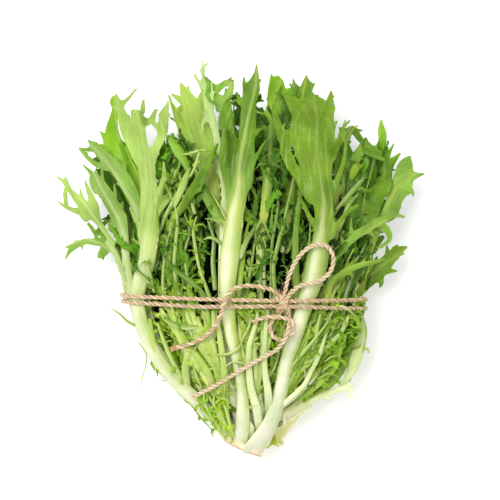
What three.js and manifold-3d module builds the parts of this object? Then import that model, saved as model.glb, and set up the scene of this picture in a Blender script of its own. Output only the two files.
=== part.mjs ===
// A curly endive (frisee) head tied with jute twine, lying on its side.
// Millimetres, +Z up. +Y runs from the cut stump to the leaf tips. The origin is on the surface that
// the head lies on, under the middle of its outline.
import * as THREE from "three";
import { mergeVertices } from "three/addons/utils/BufferGeometryUtils.js";
import Module from "manifold-3d";

const wasm = await Module();
wasm.setup();

// ---- Driving dimensions ---------------------------------------------------------------------------

const GAP = 0.4; // least space between two pieces
const EDGE_THICKNESS = 0.8; // a blade at its cut edge

// The stump: a short cone of stem, cut off at a slant.
const STUMP_X = 2;
const STUMP_Z = 33;
const STUMP_SIDES = 20;
const CUT_SLANT = -0.42; // how far the cut drops in y for each millimetre of x
const SLANT_ENDS_Y = -104;
const STUMP_PROFILE = [[0, -126], [12.6, -126], [13.8, -125], [14.2, -123.2], [13.4, -122],
  [9.6, -121.4], [9.6, -109], [9.2, -99], [7.2, -90], [4.5, -84], [0, -83]]; // radius, y

// The head's outline, from stump to tips: half its width, and the heights of its top and underside.
const OUTLINE = [
  { y: -121, half: 12, top: 45, bottom: 21 },
  { y: -105, half: 25, top: 58, bottom: 14 },
  { y: -90, half: 42, top: 68, bottom: 7 },
  { y: -75, half: 58, top: 75, bottom: 3 },
  { y: -55, half: 72, top: 82, bottom: 2 },
  { y: -27, half: 80, top: 87, bottom: 5 },
];
const AXIS_X = 3;

// Four rings of leaves up the stump: y where each leaves it, the distance of its ribs' middles from
// the stump's axis, and the y of the points where its ribs follow the head's outline.
const RINGS = [
  { y: -119, radius: 12.4, follow: [-98, -75, -50] },
  { y: -109, radius: 11.6, follow: [-88, -70, -48] },
  { y: -99, radius: 11, follow: [-80, -64, -46] },
  { y: -90, radius: 9, follow: [-73, -60, -45] },
];
const TIE_Y = -27;

// The twine: two turns round the head, a knot between the centre leaf and the right one, and four
// free stretches that leave the knot.
const CORD_RADIUS = 1.5;
const CORD_SIDES = 8;
const KNOT = new THREE.Vector3(29, -28.6, 86.5);
const KNOT_HALF = 4.4; // from its middle to the face where a turn goes in
const KNOT_LOOP_RADIUS = 2.7;
const KNOT_LOOP_STRETCH = 1.55;
const KNOT_LOOP_STEPS = 12;
const KNOT_LEANS = [28, -24]; // degrees
const TURN_CORNERS = 96;
const TURN_STANDOFF = CORD_RADIUS + GAP + 0.8;
const TURN_LEAD = 5; // how far a turn runs straight out of the knot
const PACKED = 0.965; // how far leaf fills the head's outline at the tie
const TURN_STEPS = 44;
const TURNS = [
  { name: "twine_turn_upper", path: [[-90, -23.4], [-26, -25.6], [29, -26.95], [84, -26.6]] },
  { name: "twine_turn_lower", path: [[-90, -26.9], [-26, -30.6], [29, -30.25], [84, -32.6]] },
];
const FREE_CORDS = [
  {
    name: "twine_loop_right", steps: 17,
    route: [[29.2, -21.4, 87.6], [30.6, -14.5, 89.4], [34, -5, 91.5], [40, 4, 94], [48, 9, 95.5],
      [56, 8, 95], [60, 1, 93], [58, -8, 90.5], [51, -14, 90.5], [42, -16, 91], [37, -18, 89.6], [33, -21.8, 87.6]],
  },
  {
    name: "twine_tail_left", steps: 18,
    route: [[23.6, -21.4, 88.4], [18.6, -19, 89.4], [12, -17.6, 90.8], [3, -17, 93], [-5, -20, 95.5],
      [-9.5, -27, 96], [-11.5, -34, 94], [-15, -42, 90], [-23, -50, 84.5], [-33, -55, 79.5], [-44, -58, 75]],
  },
  {
    name: "twine_loop_low", steps: 15,
    route: [[8, -40, 86], [16, -37.4, 88], [24, -37, 89], [31.4, -38.6, 88.6], [35, -43, 86.5],
      [32.8, -49, 83.4], [27, -52, 81.6], [21.4, -49.4, 81.4], [19.6, -44, 81.8], [21.4, -39, 82.6],
      [25, -35.6, 84]],
  },
  {
    name: "twine_tail_right", steps: 16,
    route: [[31.6, -35.4, 84.4], [32, -39.5, 83.9], [31, -46, 85.8], [28.6, -52.4, 86.4], [23, -58.6, 84.4],
      [15, -63, 81.5], [0, -72, 77.5], [-16, -82, 71], [-31, -90, 63]],
  },
];

// The heart: a slim core of tightly packed young leaf, with curly strands that stand out of it.
const CORE_SIDES = 10;
const CORE = [
  { y: -82, half: 2, rise: 2, z: 35 },
  { y: -66, half: 13, rise: 9, z: 40 },
  { y: -45, half: 22, rise: 13, z: 43 },
  { y: -20, half: 28, rise: 15, z: 45 },
  { y: 8, half: 28, rise: 15, z: 46 },
  { y: 32, half: 20, rise: 11, z: 46 },
  { y: 46, half: 6, rise: 4, z: 46 },
];
const STRANDS = 84;
const STRAND_LENGTH = 26;
const STRAND_WIDTH = 3.4;
const STRAND_ROOT = 3;
const HEART_SEED = 7;

// ---- Leaves ---------------------------------------------------------------------------------------

const WEB_CUP = 0.12; // how far the blade's edges lean back, for each millimetre of web
const LOBE_NARROWS = 0.32; // half a lobe's width at its elbow, as a share of its root
const LOBE_HALF_WIDTH = 2.6; // and at most
const LOBE_BENDS = [0, 0.3, -0.3, 0.6, -0.6];
const LOBE_LENGTHS = [1, 0.65];
const LEAF_SEED = 101;
const STEM_STEPS = 7; // cross-sections of a rib below its blade

// ring and angle place the foot on the stump (degrees round it, 90 on top). route is the middle of
// the rib: from the tie onwards, or from the stump where full is set. rib is its width at the foot, at
// the blade and at the tip. blade is how far along the blade starts. web is the blade's reach past the
// rib, at its widest, and peak says how far up the blade that is. lobes counts the cut lobes and reach
// is the length of the longest. roll is how far the blade leans over at its tip, in degrees, 0 lying
// face up.

const LEAVES = [
  {
    name: "leaf_centre", ring: 0, angle: 97, full: true, tone: "fresh",
    route: [[2, -105, 56], [0, -85, 66], [-2, -66, 74], [-6, -46, 80], [-8, -27, 84], [-9, -7, 88],
      [-7, 12, 90], [-4, 29, 90], [-1, 45, 88], [0, 61, 86], [3, 77, 82], [7, 97, 76], [10, 110, 71],
      [11, 121.5, 67]],
    rib: [9, 11, 2.2], blade: 0.6, web: 8, peak: 0.5, lobes: 11, reach: 15, roll: 0,
  },
  {
    name: "leaf_right_broad", ring: 0, angle: 42, full: true, tone: "fresh",
    route: [[21, -105, 52], [27, -85, 61], [31, -66, 69], [37, -46, 75], [43, -27, 79], [48, -10, 84],
      [51, 6, 87], [53, 22, 88], [54, 35, 88], [52, 51, 86], [50, 68, 83], [50, 84, 79], [48, 104, 73]],
    rib: [9.5, 14, 3], blade: 0.55, web: 13, peak: 0.8, lobes: 12, reach: 9, roll: 6,
  },
  {
    name: "leaf_left_front", ring: 0, angle: 147, full: true, tone: "fresh",
    route: [[-16, -104, 50], [-28, -92, 57], [-43, -78, 61], [-58, -56, 65], [-66, -30, 67],
      [-64, -14, 70], [-60, -2, 74], [-58, 12, 78], [-57, 29, 80], [-57, 45, 80], [-59, 61, 79],
      [-61, 74, 76], [-64, 92, 69], [-68, 109, 61]],
    rib: [9, 12, 2.5], blade: 0.64, web: 9, peak: 0.6, lobes: 9, reach: 19, roll: -6,
  },
  {
    name: "leaf_low_curl", ring: 0, angle: -6, full: true, tone: "white",
    route: [[18, -117, 33], [28, -108, 35], [46, -97, 36], [60, -90, 37], [73, -84, 37]],
    rib: [8, 6, 3.5], blade: 0.35, web: 1.5, lobes: 6, reach: 7, roll: 10,
  },
  {
    name: "leaf_low_yellow", ring: 0, angle: -52, full: true, tone: "yellow",
    route: [[13, -117, 21.5], [21, -111, 18], [32, -103, 15], [42, -93, 15]],
    rib: [8, 6, 2.5], blade: 0.25, web: 5, lobes: 6, reach: 5, roll: 30,
  },
  {
    name: "leaf_under_middle", ring: 0, angle: -100, full: true, tone: "deep",
    route: [[0, -103, 11], [0, -84, 4.5], [1, -65, 1.2], [3, -46, 5], [4, -27, 7.6], [5, -5, 7],
      [6, 22, 7], [8, 50, 9], [8, 74, 15], [6, 94, 23]],
    rib: [9, 11, 2.5], blade: 0.5, web: 9, lobes: 10, reach: 16, roll: 178,
  },
  {
    name: "leaf_under_left", ring: 0, angle: -153, full: true, tone: "deep",
    route: [[-21, -103, 17], [-36, -84, 11], [-45, -62, 7], [-47, -42, 11], [-47, -27, 15.5],
      [-46, -6, 6], [-45, 18, 1.1], [-44, 38, 4], [-46, 56, 11], [-50, 76, 19]],
    rib: [9, 10, 2.5], blade: 0.56, web: 9, lobes: 9, reach: 15, roll: -172,
  },
  {
    name: "leaf_tall_slim", ring: 1, angle: 96, tone: "pale",
    route: [[-11, -27, 75.5], [-11, 0, 79.5], [-10, 25, 81], [-10, 44, 80], [-12, 58, 78], [-16, 77, 73],
      [-20, 103, 64], [-23, 129, 55]],
    rib: [6, 5, 1.8], blade: 0.6, web: 2.5, lobes: 12, reach: 8, roll: -8,
  },
  {
    name: "leaf_middle_dark", ring: 1, angle: 61, full: true, tone: "deep",
    route: [[14, -88, 56], [13, -72, 63], [12, -56, 69], [14, -27, 75.5], [14, 12, 81], [18, 51, 79],
      [20, 75, 73], [21, 97, 65], [26, 114, 58]],
    rib: [6, 6, 2], blade: 0.55, web: 5, lobes: 11, reach: 13, roll: 5,
  },
  {
    name: "leaf_diagonal", ring: 1, angle: 130, tone: "deep",
    route: [[-42, -27, 71], [-46, -2, 73], [-45, 16, 74], [-36, 42, 79], [-25, 60, 82], [-17, 73, 82]],
    rib: [6, 5, 1.6], blade: 0.6, web: 3, lobes: 10, reach: 8, roll: -10,
  },
  {
    name: "leaf_left_silver", ring: 1, angle: 172, tone: "silver",
    route: [[-69, -27, 57], [-74, 2, 58], [-77, 22, 60], [-84, 36, 60], [-91, 48, 58], [-97, 62, 54],
      [-101, 76, 50]],
    rib: [5.5, 6, 1.8], blade: 0.55, web: 5, lobes: 10, reach: 13, roll: -20,
  },
  {
    name: "leaf_left_low", ring: 1, angle: 197, tone: "silver",
    route: [[-71, -27, 37], [-78, -4, 38], [-86, 6, 39], [-94, 11, 40], [-103, 13, 39], [-117, 7, 36]],
    rib: [6, 5, 1.8], blade: 0.6, web: 3.5, lobes: 8, reach: 11, roll: -15,
  },
  {
    name: "leaf_right_side", ring: 1, angle: 26, full: true, tone: "fresh",
    route: [[30, -88, 51], [39, -70, 58.5], [49, -48, 66], [56, -27, 70.5], [60, -14, 75], [66, -8, 76],
      [74, -4, 75], [81, -2, 72], [89, -1, 68]],
    rib: [5, 5, 1.8], blade: 0.62, web: 3, lobes: 7, reach: 12, roll: 12,
  },
  {
    name: "leaf_right_slender", ring: 1, angle: -1, tone: "silver",
    route: [[68, -27, 58], [68, -8, 63], [75, 8, 69], [85, 19, 69], [95, 25, 66], [107, 28, 61]],
    rib: [6, 5, 1.6], blade: 0.62, web: 2.5, lobes: 8, reach: 11, roll: 14,
  },
  {
    name: "leaf_right_low", ring: 1, angle: -28, tone: "pale",
    route: [[74, -27, 34], [83, -13, 37], [96, -3, 38], [110, 6, 36]],
    rib: [7, 6.5, 2], blade: 0.66, web: 5, lobes: 8, reach: 10, roll: 18,
  },
  {
    name: "leaf_under_right", ring: 1, angle: -52, full: true, tone: "deep",
    route: [[30, -88, 9], [40, -66, 7], [45, -46, 11], [47, -27, 15.2], [46, -6, 6], [44, 18, 1.1],
      [44, 38, 4], [46, 56, 11], [50, 78, 20]],
    rib: [7, 9, 2.5], blade: 0.56, web: 9, lobes: 9, reach: 15, roll: 172,
  },
  {
    name: "leaf_back_pale", ring: 2, angle: 120, tone: "pale",
    route: [[-18, -27, 66], [-17, 0, 69], [-15, 30, 69], [-18, 60, 66], [-28, 90, 59], [-38, 114, 52]],
    rib: [5.5, 7, 2.5], blade: 0.6, web: 15, peak: 0.55, lobes: 9, reach: 8, roll: -4,
  },
  {
    name: "leaf_folded", ring: 2, angle: 87, tone: "pale",
    route: [[-2, -27, 69], [-3, 0, 74], [-4, 40, 74], [-6, 65, 73], [-7, 90, 68], [-10, 114, 61]],
    rib: [5.5, 5, 2], blade: 0.66, web: 3, lobes: 8, reach: 8, roll: 40,
  },
  {
    name: "leaf_top_right", ring: 2, angle: 54, full: true, tone: "fresh",
    route: [[19, -80, 52], [20, -64, 60], [21, -46, 65], [24, -27, 69], [31, 18, 74], [36, 58, 71],
      [40, 98, 61], [44, 121, 53]],
    rib: [5.5, 6, 2.5], blade: 0.58, web: 9, peak: 0.7, lobes: 10, reach: 11, roll: 8,
  },
  {
    name: "leaf_right_arch", ring: 2, angle: 22, tone: "pale",
    route: [[49, -27, 60], [57, 15, 66], [64, 48, 67], [69, 74, 62], [77, 87, 55], [89, 82, 48]],
    rib: [5.5, 6, 2], blade: 0.6, web: 7, lobes: 9, reach: 13, roll: 25,
  },
  {
    name: "leaf_left_upper", ring: 2, angle: 150, tone: "silver",
    route: [[-60, -27, 58], [-62, 0, 63], [-66, 29, 68], [-74, 45, 69], [-84, 60, 67], [-94, 71, 63],
      [-102, 78, 58]],
    rib: [5.5, 6, 2], blade: 0.58, web: 6, lobes: 9, reach: 10, roll: -14,
  },
  {
    name: "leaf_left_tip", ring: 2, angle: 176, tone: "yellow",
    route: [[-72, -27, 47], [-79, -2, 49], [-87, 13, 50], [-93, 24, 50], [-99, 33, 48], [-106, 42, 45],
      [-111, 49, 42]],
    rib: [5.5, 5, 1.8], blade: 0.6, web: 5, lobes: 9, reach: 13, roll: -12,
  },
  {
    name: "leaf_under_far_left", ring: 2, angle: 212, tone: "deep",
    route: [[-64, -27, 25], [-68, 0, 25], [-74, 24, 25], [-82, 46, 27], [-88, 66, 30]],
    rib: [5.5, 6, 2], blade: 0.6, web: 7, lobes: 8, reach: 12, roll: -160,
  },
  {
    name: "leaf_under_far_right", ring: 2, angle: -30, tone: "deep",
    route: [[68, -27, 24], [74, 0, 24], [81, 24, 25], [87, 46, 27], [90, 68, 30]],
    rib: [5.5, 6, 2], blade: 0.6, web: 7, lobes: 8, reach: 12, roll: 160,
  },
  {
    name: "leaf_upper_left", ring: 3, angle: 148, tone: "yellow",
    route: [[-46, -27, 61], [-51, 2, 64], [-58, 32, 66], [-66, 55, 65], [-74, 72, 62], [-80, 90, 57],
      [-82, 108, 51]],
    rib: [5, 6, 2.2], blade: 0.6, web: 10, peak: 0.6, lobes: 8, reach: 8, roll: -18,
  },
  {
    name: "leaf_right_tall", ring: 3, angle: 5, tone: "yellow",
    route: [[66, -27, 50], [74, 6, 54], [80, 35, 55], [88, 65, 50], [93, 92, 42]],
    rib: [5, 5.5, 2], blade: 0.58, web: 4, lobes: 9, reach: 12, roll: 16,
  },
  {
    name: "leaf_right_far", ring: 3, angle: -13, tone: "yellow",
    route: [[73, -27, 43], [83, 0, 46], [94, 27, 46], [102, 45, 45], [110, 54, 43], [120, 57, 41]],
    rib: [5, 5, 2], blade: 0.58, web: 6, lobes: 9, reach: 11, roll: 18,
  },
  {
    name: "leaf_inner_left", ring: 3, angle: 108, tone: "deep",
    route: [[-34, -27, 63], [-34, 0, 66], [-34, 25, 68], [-37, 50, 67], [-41, 74, 61]],
    rib: [5, 4.5, 1.6], blade: 0.5, web: 3, lobes: 11, reach: 12, roll: -8,
  },
  {
    name: "leaf_inner_stem", ring: 3, angle: 42, tone: "fresh",
    route: [[36, -27, 61], [37, 0, 65], [36, 22, 67], [33, 46, 66], [30, 66, 62]],
    rib: [5, 4.5, 1.6], blade: 0.5, web: 3, lobes: 10, reach: 10, roll: 6,
  },
  {
    name: "leaf_under_centre", ring: 3, angle: -88, tone: "deep",
    route: [[4, -27, 20], [5, 5, 20], [6, 40, 22], [6, 76, 27], [5, 104, 33]],
    rib: [5, 6, 2], blade: 0.55, web: 9, lobes: 8, reach: 14, roll: 176,
  },
];

// ---- Small helpers --------------------------------------------------------------------------------

const DEGREE = Math.PI / 180;
const vec = (p) => new THREE.Vector3(...p);
const mix = (a, b, t) => a + (b - a) * t;
const smooth = (t) => t * t * (3 - 2 * t);
const clamp01 = (t) => Math.min(1, Math.max(0, t));

// A repeatable stream of numbers from 0 to 1 for a piece's own seed.
function randomStream(seed) {
  let state = seed >>> 0;
  return () => {
    state = (state + 0x6d2b79f5) >>> 0;
    let t = state;
    t = Math.imul(t ^ (t >>> 15), t | 1);
    t ^= t + Math.imul(t ^ (t >>> 7), t | 61);
    return ((t ^ (t >>> 14)) >>> 0) / 4294967296;
  };
}

// The head's outline at y.
function outlineAt(y) {
  const last = OUTLINE.length - 1;
  let i = OUTLINE.findIndex((row, k) => k > 0 && y <= row.y);
  if (i < 0) i = last;
  const [a, b] = [OUTLINE[i - 1], OUTLINE[i]];
  const t = clamp01((y - a.y) / (b.y - a.y));
  const half = mix(a.half, b.half, t);
  const top = mix(a.top, b.top, t);
  const bottom = mix(a.bottom, b.bottom, t);
  return { half, middle: (top + bottom) / 2, rise: (top - bottom) / 2 };
}

function solidOf(geometry) {
  const bare = geometry.clone();
  bare.deleteAttribute("normal");
  bare.deleteAttribute("uv");
  const merged = mergeVertices(bare, 1e-4);
  const mesh = new wasm.Mesh({
    numProp: 3,
    vertProperties: merged.attributes.position.array,
    triVerts: new Uint32Array(merged.index.array),
  });
  return new wasm.Manifold(mesh);
}

function geometryOf(solid) {
  const mesh = solid.getMesh();
  const geometry = new THREE.BufferGeometry();
  geometry.setAttribute("position", new THREE.BufferAttribute(mesh.vertProperties, 3));
  geometry.setIndex(new THREE.BufferAttribute(mesh.triVerts, 1));
  return geometry;
}

// ---- A sheet: one layer of triangles, thickened into a closed solid --------------------------------

class Sheet {
  constructor() {
    this.points = [];
    this.triangles = [];
  }

  // Adds a point of the middle surface, with the direction and half the thickness there.
  add(point, normal, halfThickness) {
    this.points.push({ point, normal, halfThickness });
    return this.points.length - 1;
  }

  face(a, b, c) {
    this.triangles.push([a, b, c]);
  }

  quad(a, b, c, d) {
    this.face(a, b, c);
    this.face(a, c, d);
  }

  // Both faces get the same triangles, and every free edge gets a wall.
  geometry() {
    const count = this.points.length;
    const positions = [];
    for (const side of [1, -1])
      for (const { point, normal, halfThickness } of this.points)
        positions.push(...point.clone().addScaledVector(normal, side * halfThickness));
    const index = [];
    const edges = new Set(this.triangles.flatMap(([a, b, c]) => [`${a},${b}`, `${b},${c}`, `${c},${a}`]));
    for (const [a, b, c] of this.triangles) {
      index.push(a, b, c, c + count, b + count, a + count);
      for (const [p, q] of [[a, b], [b, c], [c, a]])
        if (!edges.has(`${q},${p}`)) index.push(p, p + count, q + count, p, q + count, q);
    }
    const geometry = new THREE.BufferGeometry();
    geometry.setAttribute("position", new THREE.Float32BufferAttribute(positions, 3));
    geometry.setIndex(index);
    return geometry;
  }
}

// ---- The rib of a leaf ----------------------------------------------------------------------------

// The whole route of a leaf's rib: its foot on the stump, the head's outline up to the tie, and beyond.
function ribRoute(leaf) {
  const ring = RINGS[leaf.ring];
  const angle = leaf.angle * DEGREE;
  const footX = STUMP_X + ring.radius * Math.cos(angle);
  const footZ = STUMP_Z + ring.radius * Math.sin(angle);
  const footY = ring.y + CUT_SLANT * (footX - STUMP_X) * (leaf.ring === 0 ? 1 : 0);
  const points = [[footX, footY, footZ]];
  if (!leaf.full) {
    const tie = outlineAt(TIE_Y);
    const [tieX, , tieZ] = leaf.route[0];
    const across = (tieX - AXIS_X) / tie.half;
    const up = (tieZ - tie.middle) / tie.rise;
    for (const y of ring.follow) {
      const { half, middle, rise } = outlineAt(y);
      points.push([AXIS_X + across * half, y, middle + up * rise]);
    }
  }
  points.push(...leaf.route);
  return new THREE.CatmullRomCurve3(points.map(vec), false, "catmullrom", 0.5);
}

// Where the outer face of the rib looks: square to the head's outline up to the tie, then turning to
// the blade's own lean.
function outwardAt(leaf, point, t, tieAt) {
  const { half, middle, rise } = outlineAt(Math.min(point.y, TIE_Y));
  const held = Math.atan2((point.x - AXIS_X) / half / half, (point.z - middle) / rise / rise);
  const turn = smooth(clamp01((t - tieAt) / (leaf.blade + 0.1 - tieAt)));
  let lean = leaf.roll * DEGREE - held;
  lean = Math.atan2(Math.sin(lean), Math.cos(lean));
  const roll = held + lean * turn;
  return new THREE.Vector3(Math.sin(roll), 0, Math.cos(roll));
}

// The frame at a place along the rib: point, tangent, outward normal and side.
function ribFrame(leaf, curve, t, tieAt) {
  const point = curve.getPointAt(t);
  const tangent = curve.getTangentAt(t);
  const outward = outwardAt(leaf, point, t, tieAt);
  const normal = outward.addScaledVector(tangent, -outward.dot(tangent)).normalize();
  const side = new THREE.Vector3().crossVectors(tangent, normal);
  return { point, tangent, normal, side };
}

// Half the rib's width and half its thickness at t.
function ribSize(leaf, t) {
  const [foot, neck, tip] = leaf.rib;
  const width = t < leaf.blade ? mix(foot, neck, t / leaf.blade)
    : mix(neck * 0.8, tip, Math.pow((t - leaf.blade) / (1 - leaf.blade), 0.7));
  const thickness = Math.max(EDGE_THICKNESS * 0.8, 0.42 * width * (t < leaf.blade ? 1 : 0.8));
  return { halfWidth: width / 2, halfThickness: Math.min(thickness, 5.2) / 2 };
}

// How far the blade stands out past the rib: from 0.1 at its start to 1 at its peak, and back.
function webShape(u, peak = 0.5) {
  const away = u < peak ? 1 - u / peak : (u - peak) / (1 - peak);
  return mix(0.1, 1, Math.pow(Math.cos((Math.PI / 2) * away), 0.8));
}

// Where along a rib it first reaches the level y.
function placeAt(curve, y) {
  const steps = 400;
  for (let i = 0; i <= steps; i++) if (curve.getPointAt(i / steps).y >= y) return i / steps;
  return 1;
}

// ---- A whole leaf ---------------------------------------------------------------------------------

// The places along the rib where its cross-sections stand: one lobe to each step of the blade.
function stationsOf(leaf) {
  const places = [];
  for (let i = 0; i < STEM_STEPS; i++) places.push((leaf.blade * i) / STEM_STEPS);
  for (let i = 0; i <= leaf.lobes; i++) places.push(mix(leaf.blade, 1, i / leaf.lobes));
  return places;
}

// The rib and web of a leaf, with no lobes yet: three points to a row, edge, rib and edge.
function leafBody(leaf) {
  const curve = ribRoute(leaf);
  const tieAt = Math.min(placeAt(curve, TIE_Y), leaf.blade * 0.8);
  const sheet = new Sheet();
  const rows = stationsOf(leaf).map((t) => {
    const frame = ribFrame(leaf, curve, t, tieAt);
    const { halfWidth, halfThickness } = ribSize(leaf, t);
    const web = t < leaf.blade ? 0 : leaf.web * webShape((t - leaf.blade) / (1 - leaf.blade), leaf.peak);
    const edge = t < leaf.blade ? halfThickness * 0.45 : EDGE_THICKNESS / 2;
    const edgePoint = (side) => frame.point.clone()
      .addScaledVector(frame.side, side * (halfWidth + web))
      .addScaledVector(frame.normal, -WEB_CUP * web);
    const left = sheet.add(edgePoint(-1), frame.normal, edge);
    const rib = sheet.add(frame.point, frame.normal, halfThickness);
    const right = sheet.add(edgePoint(1), frame.normal, edge);
    return { frame, left, rib, right };
  });
  for (let i = 1; i < rows.length; i++) {
    const [a, b] = [rows[i - 1], rows[i]];
    sheet.quad(a.left, a.rib, b.rib, b.left);
    sheet.quad(a.rib, a.right, b.right, b.rib);
  }
  return { leaf, curve, tieAt, sheet, rows };
}

// The form of one lobe, drawn at random. forward is its angle from the rib, curl its turn in the
// blade's plane and bend its rise out of it, as a share of its length.
function lobeForm(leaf, number, random) {
  const u = (number + 0.5) / leaf.lobes;
  const share = 0.45 + 0.75 * Math.sin(Math.PI * mix(0.15, 0.85, u));
  return {
    side: number % 2 ? 1 : -1,
    length: leaf.reach * share * mix(0.75, 1.2, random()),
    forward: mix(58, 30, u) * DEGREE * mix(0.8, 1.2, random()),
    curl: mix(-0.35, 0.45, random()),
    bend: mix(-0.35, 0.35, random()),
    toothSide: random() < 0.5 ? 1 : -1,
  };
}

// Adds a lobe to a sheet, outwards from the blade edge between the points a and b.
function addLobe(sheet, form, a, b, frame) {
  const start = sheet.points[a].point;
  const end = sheet.points[b].point;
  const heading = (angle) => frame.tangent.clone().multiplyScalar(Math.cos(angle))
    .addScaledVector(frame.side, Math.sin(angle) * form.side);
  const first = heading(form.forward);
  const second = heading(form.forward - form.curl);
  const rise = form.bend * form.length;
  const elbow = start.clone().add(end).multiplyScalar(0.5)
    .addScaledVector(first, form.length / 2)
    .addScaledVector(frame.normal, rise * 0.3);
  const tip = elbow.clone()
    .addScaledVector(second, form.length / 2)
    .addScaledVector(frame.normal, rise * 0.7);
  const across = new THREE.Vector3().crossVectors(first, frame.normal).multiplyScalar(form.side);
  const half = Math.min(start.distanceTo(end) * LOBE_NARROWS, LOBE_HALF_WIDTH);
  const toothPoint = elbow.clone()
    .addScaledVector(across, form.toothSide * half * 1.9)
    .addScaledVector(second, form.length * 0.22);
  const put = (point) => sheet.add(point, frame.normal, EDGE_THICKNESS / 2);
  const back = put(elbow.clone().addScaledVector(across, half));
  const fore = put(elbow.clone().addScaledVector(across, -half));
  const point = put(tip);
  const tooth = put(toothPoint);
  const face = (p, q, r) => (form.side > 0 ? sheet.face(p, q, r) : sheet.face(p, r, q));
  face(a, back, fore);
  face(a, fore, b);
  face(back, point, fore);
  if (form.toothSide > 0) face(back, tooth, point);
  else face(fore, point, tooth);
}

// ---- Keeping the pieces clear of each other --------------------------------------------------------

const placed = [];

function boxOf(solid) {
  const { min, max } = solid.boundingBox();
  return new THREE.Box3(vec(min), vec(max));
}

// Notes a solid that later pieces keep clear of. owner is its node; a lobe also keeps clear of the
// other lobes of its own leaf.
function place(owner, solid, isLobe = false) {
  placed.push({ owner, isLobe, solid, box: boxOf(solid).expandByScalar(GAP) });
}

function isClear(owner, solid) {
  const box = boxOf(solid);
  return placed.every((other) => {
    if (!other.box.intersectsBox(box)) return true;
    if (other.owner !== owner) return solid.minGap(other.solid, GAP * 2) >= GAP;
    return !other.isLobe || solid.intersect(other.solid).volume() < 1e-3;
  });
}

// Grows a leaf's lobes. One that would touch something is bent up or down, then shortened, and one
// that still finds no room is left off.
function growLobes({ leaf, sheet, rows }, random) {
  for (let number = 0; number < leaf.lobes; number++) {
    const drawn = lobeForm(leaf, number, random);
    const side = drawn.side > 0 ? "right" : "left";
    const [from, to] = [rows[STEM_STEPS + number], rows[STEM_STEPS + number + 1]];
    const tries = LOBE_LENGTHS.flatMap((length) => LOBE_BENDS.map((bend) => (
      { ...drawn, length: drawn.length * length, bend: drawn.bend + bend })));
    for (const form of tries) {
      const lobe = new Sheet();
      for (const row of [from, to]) lobe.points.push(sheet.points[row[side]]);
      addLobe(lobe, form, 0, 1, from.frame);
      const solid = solidOf(lobe.geometry());
      if (!isClear(leaf.name, solid)) continue;
      addLobe(sheet, form, from[side], to[side], from.frame);
      place(leaf.name, solid, true);
      break;
    }
  }
}

// ---- Stump ----------------------------------------------------------------------------------------

// A turned cone whose foot drops with x, so that the cut face is slanted.
function stumpGeometry() {
  const profile = STUMP_PROFILE.map(([radius, y]) => new THREE.Vector2(radius, y));
  const geometry = new THREE.LatheGeometry(profile, STUMP_SIDES);
  const position = geometry.attributes.position;
  for (let i = 0; i < position.count; i++) {
    const y = position.getY(i);
    const share = clamp01((SLANT_ENDS_Y - y) / (SLANT_ENDS_Y - RINGS[0].y));
    position.setY(i, y + CUT_SLANT * position.getX(i) * share);
  }
  return geometry.translate(STUMP_X, 0, STUMP_Z);
}

// ---- Twine ----------------------------------------------------------------------------------------

const RIB_EDGES = ["left", "rib", "right"].flatMap((column) => [[column, 1], [column, -1]]);

const cordSection = Array.from({ length: CORD_SIDES }, (_, i) => {
  const angle = (2 * Math.PI * i) / CORD_SIDES;
  return new THREE.Vector2(CORD_RADIUS * Math.cos(angle), CORD_RADIUS * Math.sin(angle));
});

function cordGeometry(points, steps) {
  const extrudePath = new THREE.CatmullRomCurve3(points, false, "catmullrom", 0.5);
  return new THREE.ExtrudeGeometry(new THREE.Shape(cordSection), { steps, bevelEnabled: false, extrudePath });
}

// Where the long edges of every rib pass under a turn, across the whole width of the cord.
function ribPointsUnder(turn, leaves) {
  const found = [];
  for (const { sheet, rows } of leaves)
    for (let i = 1; i < rows.length; i++)
      for (const [column, face] of RIB_EDGES) {
        const [from, to] = [rows[i - 1], rows[i]].map((row) => {
          const { point, normal, halfThickness } = sheet.points[row[column]];
          return point.clone().addScaledVector(normal, face * halfThickness);
        });
        for (const shift of [-CORD_RADIUS, 0, CORD_RADIUS]) {
          const level = levelOf(turn, from.x) + shift;
          const share = (level - from.y) / (to.y - from.y);
          if (share >= 0 && share <= 1) found.push(from.clone().lerp(to, share));
        }
      }
  return found;
}

// Points round the packed head at the tie, which hold a turn out where no rib does.
function packedPoints() {
  const { half, middle, rise } = outlineAt(TIE_Y);
  return Array.from({ length: TURN_CORNERS }, (_, i) => {
    const angle = (2 * Math.PI * i) / TURN_CORNERS;
    const x = AXIS_X + half * PACKED * Math.cos(angle);
    return new THREE.Vector3(x, 0, middle + rise * PACKED * Math.sin(angle));
  });
}

// y of a turn where it passes x.
function levelOf(turn, x) {
  const i = Math.max(1, turn.path.findIndex(([place]) => x <= place));
  const [[x0, y0], [x1, y1]] = [turn.path[i - 1], turn.path[i]];
  return mix(y0, y1, (x - x0) / (x1 - x0));
}

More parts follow.
